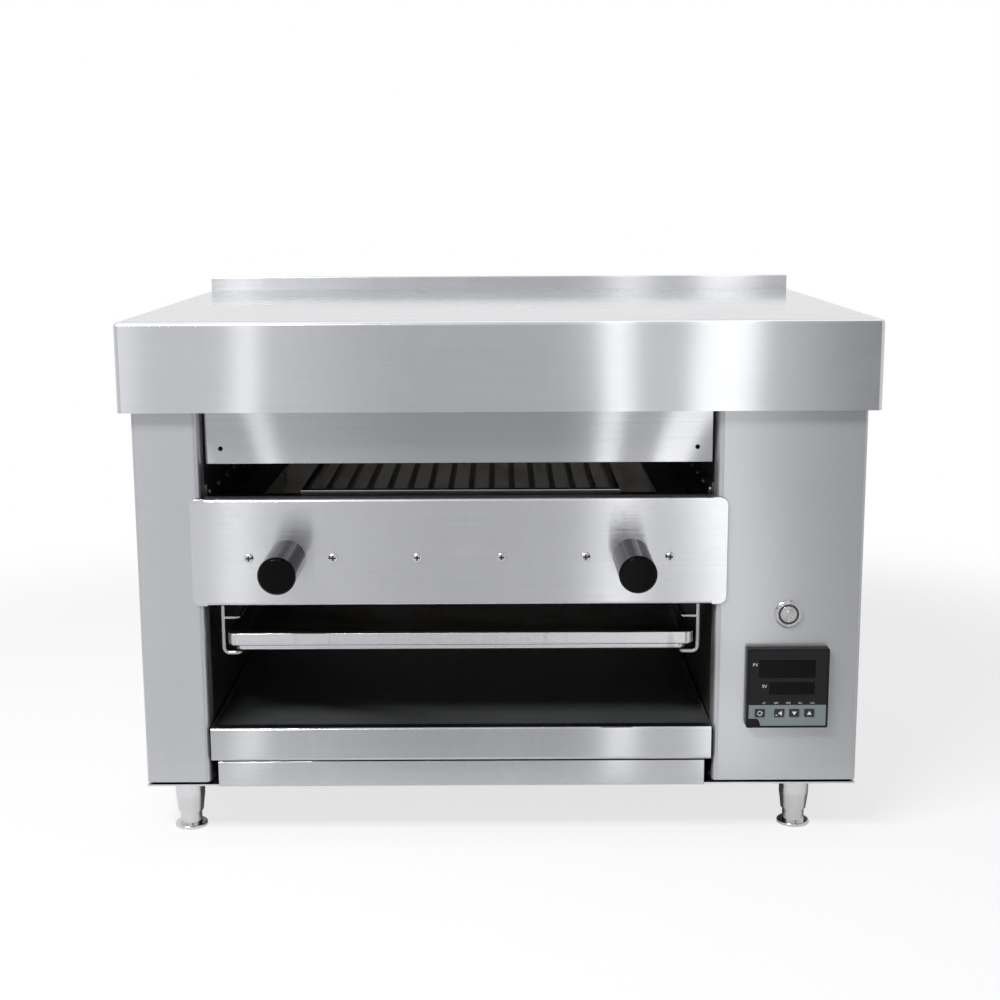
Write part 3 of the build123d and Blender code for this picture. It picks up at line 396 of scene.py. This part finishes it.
finishes = {
    "brushed_stainless": brushed_steel("brushed_stainless", STEEL),
    "chamber_steel": plain_steel("chamber_steel", (0.26, 0.25, 0.24, 1.0), rough=0.36, heat=0.5, soot=0.25),
    "drip_steel": drip_tray_finish(),
    "tray_steel": hanging_tray_finish(),
    "carriage_steel": plain_steel("carriage_steel", (0.36, 0.36, 0.36, 1.0), rough=0.32, heat=0.3, soot=0.15),
    "wire_steel": plain_steel("wire_steel", (0.50, 0.50, 0.50, 1.0), rough=0.24, heat=0.15, soot=0.05),
    "screw_steel": plain_steel("screw_steel", (0.74, 0.74, 0.74, 1.0), rough=0.20),
    "polished_steel": plain_steel("polished_steel", (0.72, 0.725, 0.73, 1.0), rough=0.14),
    "button_metal": spun_metal_finish(),
    "button_lens": plastic(
        "button_lens", (0.015, 0.015, 0.017, 1.0), rough=0.3, pits=700.0, depth=0.004 * MM, coat=0.4),
    "handle_black": plastic(
        "handle_black", (0.0012, 0.0012, 0.0014, 1.0),
        rough=0.07, pits=900.0, depth=0.001 * MM, shine=0.075),
    "controller_black": plastic("controller_black", (0.004, 0.004, 0.0045, 1.0), rough=0.42, shine=0.25),
    "controller_face": plastic("controller_face", (0.0085, 0.0082, 0.0095, 1.0), rough=0.42, shine=0.25),
    "controller_band": plastic("controller_band", (0.20, 0.245, 0.245, 1.0), rough=0.42),
    "display_dark": smoked_window(),
    "key_black": plastic("key_black", (0.012, 0.012, 0.015, 1.0), rough=0.45),
    "rod_sheath": plain_steel("rod_sheath", (0.17, 0.15, 0.13, 1.0), rough=0.48, heat=0.6, soot=0.3),
    "ceramic_white": chalky(
        "ceramic_white", (0.72, 0.69, 0.62, 1.0), rough=0.55, lumps=300.0, depth=0.03 * MM),
    "insulation": chalky("insulation", (0.62, 0.58, 0.48, 1.0), rough=0.9, lumps=140.0, depth=0.4 * MM),
    "gear_plastic": plastic("gear_plastic", (0.16, 0.165, 0.17, 1.0), rough=0.45),
    "gland_black": plastic("gland_black", (0.012, 0.012, 0.012, 1.0), rough=0.40),
}
shield_finish = brushed_steel("shield_stainless", (0.665, 0.672, 0.70, 1.0), cut=0.15 * MM, metal=0.95)
valance_finish = brushed_steel(
    "valance_stainless", (0.52, 0.527, 0.548, 1.0),
    gloss=0.04, haze=0.40, cut=0.06 * MM, bow=9.0, metal=0.86, hazy=0.12)
casing_finish = brushed_steel(
    "casing_stainless", (0.503, 0.511, 0.531, 1.0),
    gloss=0.11, haze=0.38, cut=0.09 * MM, metal=0.64, lines=0.06)
rail_finish = brushed_steel("rail_stainless", LIP_STEEL)
dull_screws = plain_steel("dull_screw_steel", (0.30, 0.30, 0.30, 1.0), rough=0.34, heat=0.4, soot=0.2)
# Near-black finish of the prisms in the screw recesses: painted shade
recess_shade_finish = chalky("painted_recess_shade", (0.006, 0.006, 0.006, 1.0), rough=0.8, lumps=2000.0, depth=0.01 * MM)
ink_white = print_ink("ink_white", (0.78, 0.78, 0.78, 1.0))

for part in frame["record"]["subparts"]:
    for holder in nodes[part["node"]].material_slots:
        holder.material = finishes[part["material_slot"]]
own_finishes = {
    "shield_panel": shield_finish, "front_valance": valance_finish,
    "left_casing": casing_finish, "right_casing": casing_finish, "front_rail": rail_finish,
}
for name, finish in own_finishes.items():
    for holder in nodes[name].material_slots:
        holder.material = finish


# Pieces: a mesh that sits at the origin, with its place in its vertices
SHARP_EDGE = math.radians(35.0)


def piece_of(name, mesh, body, replaced=()):
    mesh.name = name
    mesh.polygons.foreach_set("use_smooth", [True] * len(mesh.polygons))
    mesh.set_sharp_from_angle(angle=SHARP_EDGE)
    piece = bpy.data.objects.new(name, mesh)
    scene.collection.objects.link(piece)
    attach(piece, body)
    if replaced:
        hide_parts(*replaced)


def evaluated_mesh(holder):
    bpy.context.view_layer.update()
    evaluated = holder.evaluated_get(bpy.context.evaluated_depsgraph_get())
    return bpy.data.meshes.new_from_object(evaluated)


def joined(meshes):
    # Several meshes, each wholly of the last material it holds, as one
    shape = bmesh.new()
    kinds = []
    for mesh in meshes:
        finish = mesh.materials[-1]
        if finish not in kinds:
            kinds.append(finish)
        start = len(shape.faces)
        shape.from_mesh(mesh)
        shape.faces.ensure_lookup_table()
        for face in shape.faces[start:]:
            face.material_index = kinds.index(finish)
    whole = bpy.data.meshes.new("joined")
    shape.to_mesh(whole)
    shape.free()
    for finish in kinds:
        whole.materials.append(finish)
    return whole


# Geometry Nodes: a tree from its named inputs, and the mesh that it grows
class Grower:
    def __init__(self, name, inputs):
        self.tree = bpy.data.node_groups.new(name, "GeometryNodeTree")
        self.ids = {}
        for label, kind in inputs:
            made = self.tree.interface.new_socket(name=label, in_out="INPUT", socket_type=kind)
            self.ids[label] = made.identifier
        self.tree.interface.new_socket(name="Geometry", in_out="OUTPUT", socket_type="NodeSocketGeometry")
        self.source = self.tree.nodes.new("NodeGroupInput")
        self.sink = self.tree.nodes.new("NodeGroupOutput")

    def given(self, label):
        return self.source.outputs[label]

    def add(self, kind, settings=None, sockets=None, output=0):
        made = self.tree.nodes.new(kind)
        for key, value in (settings or {}).items():
            setattr(made, key, value)
        for key, value in (sockets or {}).items():
            links = value if isinstance(value, list) else [value]
            for item in links:
                if isinstance(item, bpy.types.NodeSocket):
                    self.tree.links.new(item, made.inputs[key])
                else:
                    made.inputs[key].default_value = item
        return made.outputs[output]

    def close(self, geometry):
        real = self.add("GeometryNodeRealizeInstances", None, {0: geometry})
        dressed = self.add("GeometryNodeSetMaterial", None, {
            "Geometry": real, "Material": self.given("Finish"),
        })
        self.tree.links.new(dressed, self.sink.inputs["Geometry"])

    def grow(self, values):
        holder = bpy.data.objects.new("grown", bpy.data.meshes.new("grown"))
        scene.collection.objects.link(holder)
        growth = holder.modifiers.new("growth", "NODES")
        growth.node_group = self.tree
        for label, value in values.items():
            growth[self.ids[label]] = value
        mesh = evaluated_mesh(holder)
        holder.modifiers.remove(growth)
        bpy.data.objects.remove(holder)
        return mesh


def turned(name, profile, steps):
    # Closed solid of revolution about Z from (radius, height) pairs, both ends on the axis
    shape = bmesh.new()
    rings = []
    for radius, height in profile[1:-1]:
        ring = []
        for i in range(steps):
            angle = 2 * math.pi * i / steps
            ring.append(shape.verts.new((radius * math.cos(angle), radius * math.sin(angle), height)))
        rings.append(ring)
    first = shape.verts.new((0, 0, profile[0][1]))
    last = shape.verts.new((0, 0, profile[-1][1]))
    for i in range(steps):
        after = (i + 1) % steps
        shape.faces.new((first, rings[0][after], rings[0][i]))
        shape.faces.new((last, rings[-1][i], rings[-1][after]))
        for low, high in zip(rings, rings[1:]):
            shape.faces.new((low[i], low[after], high[after], high[i]))
    mesh = bpy.data.meshes.new(name)
    bmesh.ops.recalc_face_normals(shape, faces=shape.faces)
    shape.to_mesh(mesh)
    shape.free()
    return mesh


def prism(name, outline, low, high, spread=1.0):
    # Closed prism along Z over an outline in X and Y, its top scaled by the spread
    shape = bmesh.new()
    base = [shape.verts.new((x, y, low)) for x, y in outline]
    top = [shape.verts.new((x * spread, y * spread, high)) for x, y in outline]
    shape.faces.new(list(reversed(base)))
    shape.faces.new(top)
    for i in range(len(outline)):
        after = (i + 1) % len(outline)
        shape.faces.new((base[i], base[after], top[after], top[i]))
    mesh = bpy.data.meshes.new(name)
    bmesh.ops.recalc_face_normals(shape, faces=shape.faces)
    shape.to_mesh(mesh)
    shape.free()
    return mesh


SCREW_STEPS = 28
# Cross recess: arm and half width as shares of the head's radius, floor as a share of its height
CROSS_ARM = 0.50
CROSS_HALF_WIDTH = 0.15
CROSS_FLOOR = 0.40


def pan_head(name, radius, height, shank, grip):
    # Screw along Z: domed head above zero with a cross recess, shank below, and a dark prism in the recess as
    # painted shade
    profile = [
        (0, -grip), (shank * 0.8, -grip), (shank, -grip + shank * 0.5), (shank, 0), (radius * 0.84, 0),
        (radius * 0.84, height * 0.14), (radius, height * 0.24), (radius, height * 0.42),
        (radius * 0.95, height * 0.62), (radius * 0.84, height * 0.82), (radius * 0.62, height * 0.95),
        (radius * 0.3, height), (0, height),
    ]
    body = bpy.data.objects.new(name, turned(name, profile, SCREW_STEPS))
    arm = radius * CROSS_ARM
    half = radius * CROSS_HALF_WIDTH
    cross = [
        (half, half), (half, arm), (-half, arm), (-half, half), (-arm, half), (-arm, -half),
        (-half, -half), (-half, -arm), (half, -arm), (half, -half), (arm, -half), (arm, half),
    ]
    deep = height * CROSS_FLOOR
    cut_shape = prism(name + "_cut", cross, low=deep, high=height * 1.2, spread=1.3)
    # Near-black prism sitting inside the cross recess: painted shade
    recess_shade_shape = prism(name + "_grime", cross, low=deep * 1.02, high=height * 0.84, spread=1.14)
    cutter = bpy.data.objects.new(name + "_cut", cut_shape)
    recess_shade = bpy.data.objects.new(name + "_grime", recess_shade_shape)
    scene.collection.objects.link(recess_shade)
    scene.collection.objects.link(body)
    scene.collection.objects.link(cutter)
    cut = body.modifiers.new("recess", "BOOLEAN")
    cut.object = cutter
    cut.solver = "EXACT"
    mesh = evaluated_mesh(body)
    body.modifiers.remove(cut)
    bpy.data.objects.remove(cutter)
    body.data = mesh
    return body, recess_shade


# Rows of fasteners: one screw set at even steps, turned to face its way
row = Grower("fastener_row", [
    ("Fastener", "NodeSocketObject"), ("Count", "NodeSocketInt"), ("First", "NodeSocketVector"),
    ("Step", "NodeSocketVector"), ("Turn", "NodeSocketRotation"), ("Finish", "NodeSocketMaterial"),
])
row_points = row.add("GeometryNodeMeshLine", {"mode": "OFFSET"}, {
    "Count": row.given("Count"), "Start Location": row.given("First"), "Offset": row.given("Step"),
})
row_shape = row.add("GeometryNodeObjectInfo", None, {"Object": row.given("Fastener")}, "Geometry")
row.close(row.add("GeometryNodeInstanceOnPoints", None, {
    "Points": row_points, "Instance": row_shape, "Rotation": row.given("Turn"),
}))


def fasteners(name, screw, finish, places, body, replaced):
    # Each place is the first point, the step, how many, and the turn of that row
    grown = []
    # Each row is grown once in the screw's finish and once as the painted shade in its recesses
    for shape, coat in zip(screw, (finish, recess_shade_finish)):
        for first, step, count, turn in places:
            grown.append(row.grow({
                "Fastener": shape, "Count": count, "First": first, "Step": step, "Turn": turn, "Finish": coat,
            }))
        bpy.data.objects.remove(shape)
    piece_of(name, joined(grown), body, replaced)


FACE_FRONT = (math.pi / 2, 0.0, 0.0)
FACE_BACK = (-math.pi / 2, 0.0, 0.0)
FACE_LEFT = (0.0, -math.pi / 2, 0.0)
FACE_RIGHT = (0.0, math.pi / 2, 0.0)

# Screws of the shield panel
PANEL_SCREWS = 6
low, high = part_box("shield_screws")
panel_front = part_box("shield_panel")[0].y
head = 4.0 * MM
first_x, last_x = low.x + head, high.x - head
screw_z = (low.z + high.z) / 2
panel_screw = pan_head("panel_screw", head, height=2.4 * MM, shank=2.0 * MM, grip=7.0 * MM)
step = ((last_x - first_x) / (PANEL_SCREWS - 1), 0, 0)
panel_row = ((first_x, panel_front, screw_z), step, PANEL_SCREWS, FACE_FRONT)
bright_screws = finishes["screw_steel"]
fasteners("shield_panel_screws", panel_screw, bright_screws, [panel_row], "carriage", ["shield_screws"])

# Screws along each guide rail
GUIDE_SCREWS = 8
low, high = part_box("guide_screws")
rail_low, rail_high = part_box("guide_rails")
head = 3.5 * MM
wall = 1.5 * MM
first_y, last_y = low.y + head, high.y - head
screw_z = (low.z + high.z) / 2
step = (0, (last_y - first_y) / (GUIDE_SCREWS - 1), 0)
guide_screw = pan_head("guide_screw", head, height=1.8 * MM, shank=2.0 * MM, grip=7.0 * MM)
guide_rows = [
    ((rail_low.x + wall, first_y, screw_z), step, GUIDE_SCREWS, FACE_RIGHT),
    ((rail_high.x - wall, first_y, screw_z), step, GUIDE_SCREWS, FACE_LEFT),
]
fasteners("guide_rail_screws", guide_screw, dull_screws, guide_rows, "cabinet", ["guide_screws"])

# Screws along each side of the rear panel
REAR_SCREWS = 4
low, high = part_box("rear_screws")
rear_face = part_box("rear_panel")[1].y
head = 4.0 * MM
step = (0, 0, (high.z - low.z - 2 * head) / (REAR_SCREWS - 1))
rear_screw = pan_head("rear_screw", head, height=2.0 * MM, shank=2.0 * MM, grip=4.0 * MM)
rear_rows = [
    ((low.x + head, rear_face, low.z + head), step, REAR_SCREWS, FACE_BACK),
    ((high.x - head, rear_face, low.z + head), step, REAR_SCREWS, FACE_BACK),
]
fasteners("rear_panel_screws", rear_screw, bright_screws, rear_rows, "cabinet", ["rear_screws"])

# Grate: round rods from front to back, let into a frame of flat bar with rounded edges
grate = Grower("grate", [
    ("Low", "NodeSocketVector"), ("Width", "NodeSocketFloat"), ("Depth", "NodeSocketFloat"),
    ("Rods", "NodeSocketInt"), ("Rod Radius", "NodeSocketFloat"), ("Rod Inset", "NodeSocketFloat"),
    ("Bar Width", "NodeSocketFloat"), ("Bar Height", "NodeSocketFloat"), ("Finish", "NodeSocketMaterial"),
])


def grate_math(operation, first, second):
    return grate.add("ShaderNodeMath", {"operation": operation}, {0: first, 1: second})


def grate_vector(x, y, z):
    return grate.add("ShaderNodeCombineXYZ", None, {0: x, 1: y, 2: z})


BAR_EDGE = 1.2 * MM
BAR_EDGE_STEPS = 3
ROD_SIDES = 20
bar_width = grate.given("Bar Width")
half_height = grate_math("MULTIPLY", grate.given("Bar Height"), 0.5)
frame_path = grate.add("GeometryNodeCurvePrimitiveQuadrilateral", None, {
    "Width": grate_math("SUBTRACT", grate.given("Width"), bar_width),
    "Height": grate_math("SUBTRACT", grate.given("Depth"), bar_width),
})
bar_shape = grate.add("GeometryNodeCurvePrimitiveQuadrilateral", None, {
    "Width": bar_width, "Height": grate.given("Bar Height"),
})
bar_round = grate.add("GeometryNodeFilletCurve", {"mode": "POLY"}, {
    "Curve": bar_shape, "Radius": BAR_EDGE, "Count": BAR_EDGE_STEPS,
})
frame_bar = grate.add("GeometryNodeCurveToMesh", None, {"Curve": frame_path, "Profile Curve": bar_round})
rod_gap = grate_math("SUBTRACT", grate.given("Width"), grate_math("MULTIPLY", grate.given("Rod Inset"), 2.0))
rod_last = grate_math("SUBTRACT", grate.given("Rods"), 1.0)
rod_step = grate_vector(grate_math("DIVIDE", rod_gap, rod_last), 0.0, 0.0)
rod_start = grate_vector(grate_math("MULTIPLY", rod_gap, -0.5), 0.0, 0.0)
rod_points = grate.add("GeometryNodeMeshLine", {"mode": "OFFSET"}, {
    "Count": grate.given("Rods"), "Start Location": rod_start, "Offset": rod_step,
})
rod_shape = grate.add("GeometryNodeMeshCylinder", {"fill_type": "NGON"}, {
    "Vertices": ROD_SIDES, "Radius": grate.given("Rod Radius"),
    "Depth": grate_math("SUBTRACT", grate.given("Depth"), bar_width),
})
rod_turned = grate.add("GeometryNodeTransform", None, {
    "Geometry": rod_shape, "Rotation": (math.pi / 2, 0.0, 0.0),
})
rods = grate.add("GeometryNodeInstanceOnPoints", None, {"Points": rod_points, "Instance": rod_turned})
both = grate.add("GeometryNodeJoinGeometry", None, {0: [frame_bar, rods]})
half_width = grate_math("MULTIPLY", grate.given("Width"), 0.5)
half_depth = grate_math("MULTIPLY", grate.given("Depth"), 0.5)
half_size = grate_vector(half_width, half_depth, half_height)
centre = grate.add("ShaderNodeVectorMath", {"operation": "ADD"}, {0: grate.given("Low"), 1: half_size})
grate.close(grate.add("GeometryNodeTransform", None, {"Geometry": both, "Translation": centre}))

low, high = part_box("grill_grate")
grate_mesh = grate.grow({
    "Low": tuple(low), "Width": high.x - low.x, "Depth": high.y - low.y, "Rods": 14, "Rod Radius": 3.0 * MM,
    "Rod Inset": 24.1 * MM, "Bar Width": 10.0 * MM, "Bar Height": high.z - low.z,
    "Finish": finishes["wire_steel"],
})
piece_of("grate_rods_and_frame", grate_mesh, "carriage", ["grill_grate"])


# Printed marks: thin closed shapes drawn facing the user, in X and Z round a middle
HALF_INK = 0.04 * MM


def face_place(middle_x, front_y, middle_z):
    return Matrix.Translation((middle_x, front_y, middle_z)) @ Matrix.Rotation(math.pi / 2, 4, "X")


def placed(mesh, matrix, finish):
    mesh.transform(matrix)
    mesh.materials.clear()
    mesh.materials.append(finish)
    return mesh


def lettering(words, size, finish, matrix):
    curve = bpy.data.curves.new("lettering", "FONT")
    curve.body = words
    curve.size = size
    curve.align_x = "CENTER"
    curve.align_y = "CENTER"
    curve.extrude = HALF_INK
    curve.resolution_u = 3
    holder = bpy.data.objects.new("lettering", curve)
    scene.collection.objects.link(holder)
    mesh = evaluated_mesh(holder)
    bpy.data.objects.remove(holder)
    return placed(mesh, matrix, finish)


plate_low, plate_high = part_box("controller_face")
face_x = (plate_low.x + plate_high.x) / 2
face_z = 141.0 * MM
# Each legend has its words, their size, and its place to the right of and above the face's middle, all in mm
legends = [("PV", 4.2, -29.0, 21.5), ("SV", 4.0, -20.5, 2.0)]
for i, words in enumerate(("AT", "OP1", "OP2", "AL1", "AL2")):
    legends.append((words, 2.3, -20.5 + 10.6 * i, -13.2))
marks = []
for words, size, right, up in legends:
    legend_place = face_place(face_x + right * MM, plate_low.y, face_z + up * MM)
    marks.append(lettering(words, size * MM, ink_white, legend_place))
piece_of("controller_lettering", joined(marks), "cabinet")

# Marks on the four keys
RING_STEPS = 28
RING_OUTER = 2.1 * MM
RING_INNER = 1.45 * MM


def flat_mark(points, matrix):
    return placed(prism("mark", points, -HALF_INK, HALF_INK), matrix, ink_white)


def loop_mark(matrix):
    # Ring that the set key's two arrow heads ride on
    shape = bmesh.new()
    section = (
        (RING_OUTER, HALF_INK), (RING_INNER, HALF_INK), (RING_INNER, -HALF_INK), (RING_OUTER, -HALF_INK))
    corners = []
    for i in range(RING_STEPS):
        angle = 2 * math.pi * i / RING_STEPS
        x, y = math.cos(angle), math.sin(angle)
        corners.append([shape.verts.new((r * x, r * y, z)) for r, z in section])
    for i in range(RING_STEPS):
        after = corners[(i + 1) % RING_STEPS]
        for j in range(4):
            shape.faces.new((corners[i][j], corners[i][(j + 1) % 4], after[(j + 1) % 4], after[j]))
    bmesh.ops.recalc_face_normals(shape, faces=shape.faces)
    mesh = bpy.data.meshes.new("loop")
    shape.to_mesh(mesh)
    shape.free()
    return placed(mesh, matrix, ink_white)


def key_place(key):
    low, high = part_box(key)
    return face_place((low.x + high.x) / 2, low.y, (low.z + high.z) / 2)


# Half the size of an arrow head
ARROW = 1.9 * MM


def arrow_points(*shares):
    return [(x * ARROW, y * ARROW) for x, y in shares]


set_tip = [(0.95 * MM, 0.75 * MM), (2.75 * MM, 0.75 * MM), (1.85 * MM, -0.85 * MM)]
set_tail = [(-x, -y) for x, y in set_tip]
set_place = key_place("key_set")
set_marks = joined([loop_mark(set_place), flat_mark(set_tip, set_place), flat_mark(set_tail, set_place)])
piece_of("key_set_mark", set_marks, "key_set")
left_tip = arrow_points((-0.6, 0.0), (1.2, -1.15), (1.2, 1.15))
left_bar = arrow_points((-1.75, -1.1), (-0.8, -1.1), (-0.8, -0.75), (-1.75, -0.75))
shift_place = key_place("key_shift")
left_marks = joined([flat_mark(left_tip, shift_place), flat_mark(left_bar, shift_place)])
piece_of("key_shift_mark", left_marks, "key_shift")
down_tip = arrow_points((0.0, -1.0), (1.1, 0.75), (-1.1, 0.75))
piece_of("key_down_mark", flat_mark(down_tip, key_place("key_down")), "key_down")
up_tip = arrow_points((0.0, 1.0), (-1.1, -0.75), (1.1, -0.75))
piece_of("key_up_mark", flat_mark(up_tip, key_place("key_up")), "key_up")

# Black release tab at the lower left corner of the controller's key band
band_low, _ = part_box("controller_key_band")
tab_corners = [(0.0, 0.0), (10.6, 0.0), (9.6, 3.6), (8.6, 5.6), (7.0, 6.6), (0.0, 6.6)]
tab = [(x * MM, y * MM) for x, y in tab_corners]
tab_place = face_place(band_low.x, band_low.y, band_low.z)
tab_mesh = placed(prism("tab", tab, low=-0.1 * MM, high=0.15 * MM), tab_place, finishes["controller_black"])
piece_of("controller_release_tab", tab_mesh, "cabinet")

# Camera at the photograph's viewing angle
TILT_DOWN = 10.72
ROLL = -0.25
camera_data = bpy.data.cameras.new("camera")
camera_data.sensor_width = 36.0
camera_data.lens = 57.6
camera = bpy.data.objects.new("camera", camera_data)
camera.location = (0.0, -1.556, 0.566)
pitch = Matrix.Rotation(math.radians(90.0 - TILT_DOWN), 3, "X")
look = pitch @ Matrix.Rotation(math.radians(ROLL), 3, "Z")
camera.rotation_euler = look.to_euler()
scene.collection.objects.link(camera)
scene.camera = camera

# Floor: a pale round sheet that fades into the white round it
FLOOR_REACH = 1.6
FLOOR_SIDES = 64
WHITENED = 0.75
floor_mesh = bpy.data.meshes.new("floor")
turns = [2 * math.pi * i / FLOOR_SIDES for i in range(FLOOR_SIDES)]
rim_points = [(FLOOR_REACH * math.cos(turn), FLOOR_REACH * math.sin(turn), 0.0) for turn in turns]
floor_mesh.from_pydata(rim_points, [], [list(range(FLOOR_SIDES))])
floor = bpy.data.objects.new("floor", floor_mesh)
scene.collection.objects.link(floor)
ground = Finish("floor_pale")
spot = ground.place()
floor_x, floor_y, _ = ground.split(spot)
away = (floor_x * floor_x + floor_y * floor_y) ** 0.5
paper = ground.noise(spot, scale=60.0, detail=3.0, rough=0.6)
matt = ground.node("ShaderNodeBsdfPrincipled", None, {
    "Base Color": ground.tint((0.93, 0.93, 0.93, 1.0), 0.99 + paper.swing(0.02)),
    "Roughness": 0.9,
})
white = ground.node("ShaderNodeEmission", None, {"Color": (1.0, 1.0, 1.0, 1.0), "Strength": 1.0})
clear = ground.node("ShaderNodeBsdfTransparent")
path_of_ray = ground.node("ShaderNodeLightPath")
seen = path_of_ray.of("Is Camera Ray")
mirrored = path_of_ray.of("Is Glossy Ray")
lit = ground.node("ShaderNodeMixShader", None, {0: seen * WHITENED, 1: matt, 2: white})
# Reflections hardly see the floor in front of the grill
ahead_of_it = (0.0 - floor_y).ease(0.30, 0.42)
gone = away.ease(0.75, 1.3).most(mirrored * ahead_of_it * 0.9)
faded = ground.node("ShaderNodeMixShader", None, {0: gone, 1: lit, 2: clear})
ground.node("ShaderNodeOutputMaterial", None, {"Surface": faded})
floor_mesh.materials.append(ground.material)

# Light: a pale tent, greyer in front, whose bright stripes and dim right only reflections see
TENT_SIDES = 0.92
TENT_FRONT = 0.52
TENT_MATT = 0.22
world = bpy.data.worlds.new("tent")
world.use_nodes = True
scene.world = world
tent = Finish("tent", world.node_tree)
ray = tent.node("ShaderNodeLightPath")
sees = ray.of("Is Camera Ray").most(ray.of("Is Transmission Ray"))
direction = tent.node("ShaderNodeTexCoord").of("Generated")
x_way, y_way, z_way = tent.split(direction)
level_way = (x_way * x_way + y_way * y_way) ** 0.5
front = ((0.0 - y_way) / level_way).ease(0.1, 0.6)


def stripe(centre, half, soft):
    return 1.0 - abs(x_way - centre).ease(half, half + soft)


left_pale = 1.0 - x_way.ease(-0.15, -0.04)
far_down = (0.0 - z_way).ease(0.35, 0.6)
right_pale = x_way.ease(0.03, 0.07) - x_way.ease(0.15, 0.235) * (1.0 - far_down) * 1.8
far_right = x_way.ease(0.38, 0.55)
ahead = TENT_FRONT + left_pale * 0.26 + right_pale * 0.30 + far_right * 0.55
# Each stripe has a middle, a half width, a soft edge and a strength
stripes = [
    (-0.237, 0.006, 0.014, 0.45), (-0.158, 0.006, 0.008, 0.8),
    (0.0735, 0.006, 0.008, 1.0), (0.141, 0.013, 0.012, 1.2),
]
for middle, half, soft, bright in stripes:
    ahead = ahead + stripe(middle, half, soft) * bright
under = (0.0 - z_way).ease(0.3, 0.75)
gloss = (TENT_SIDES + front * (ahead - TENT_SIDES)) * (1.0 - under * 0.5)
level = TENT_MATT + ray.of("Is Glossy Ray") * (gloss - TENT_MATT)
strength = sees + (1.0 - sees) * level
sky = tent.node("ShaderNodeBackground", None, {"Color": (1.0, 1.0, 1.0, 1.0), "Strength": strength})
tent.node("ShaderNodeOutputWorld", None, {"Surface": sky})


def softbox(name, place, aim, width, height, watts):
    lamp = bpy.data.lights.new(name, "AREA")
    lamp.shape = "RECTANGLE"
    lamp.size = width
    lamp.size_y = height
    lamp.energy = watts
    holder = bpy.data.objects.new(name, lamp)
    holder.location = place
    way = Vector(aim) - Vector(place)
    holder.rotation_euler = way.to_track_quat("-Z", "Y").to_euler()
    scene.collection.objects.link(holder)


# A wide lamp overhead, and a long one in front, to the left
softbox("overhead", place=(0.0, 0.2, 2.4), aim=(0.0, 0.1, 0.4), width=2.4, height=1.8, watts=8.0)
softbox("front_row", place=(-0.90, -1.35, 1.75), aim=(-0.05, -0.2, 0.35), width=1.2, height=0.16, watts=46.0)
scene.view_settings.view_transform = "Standard"
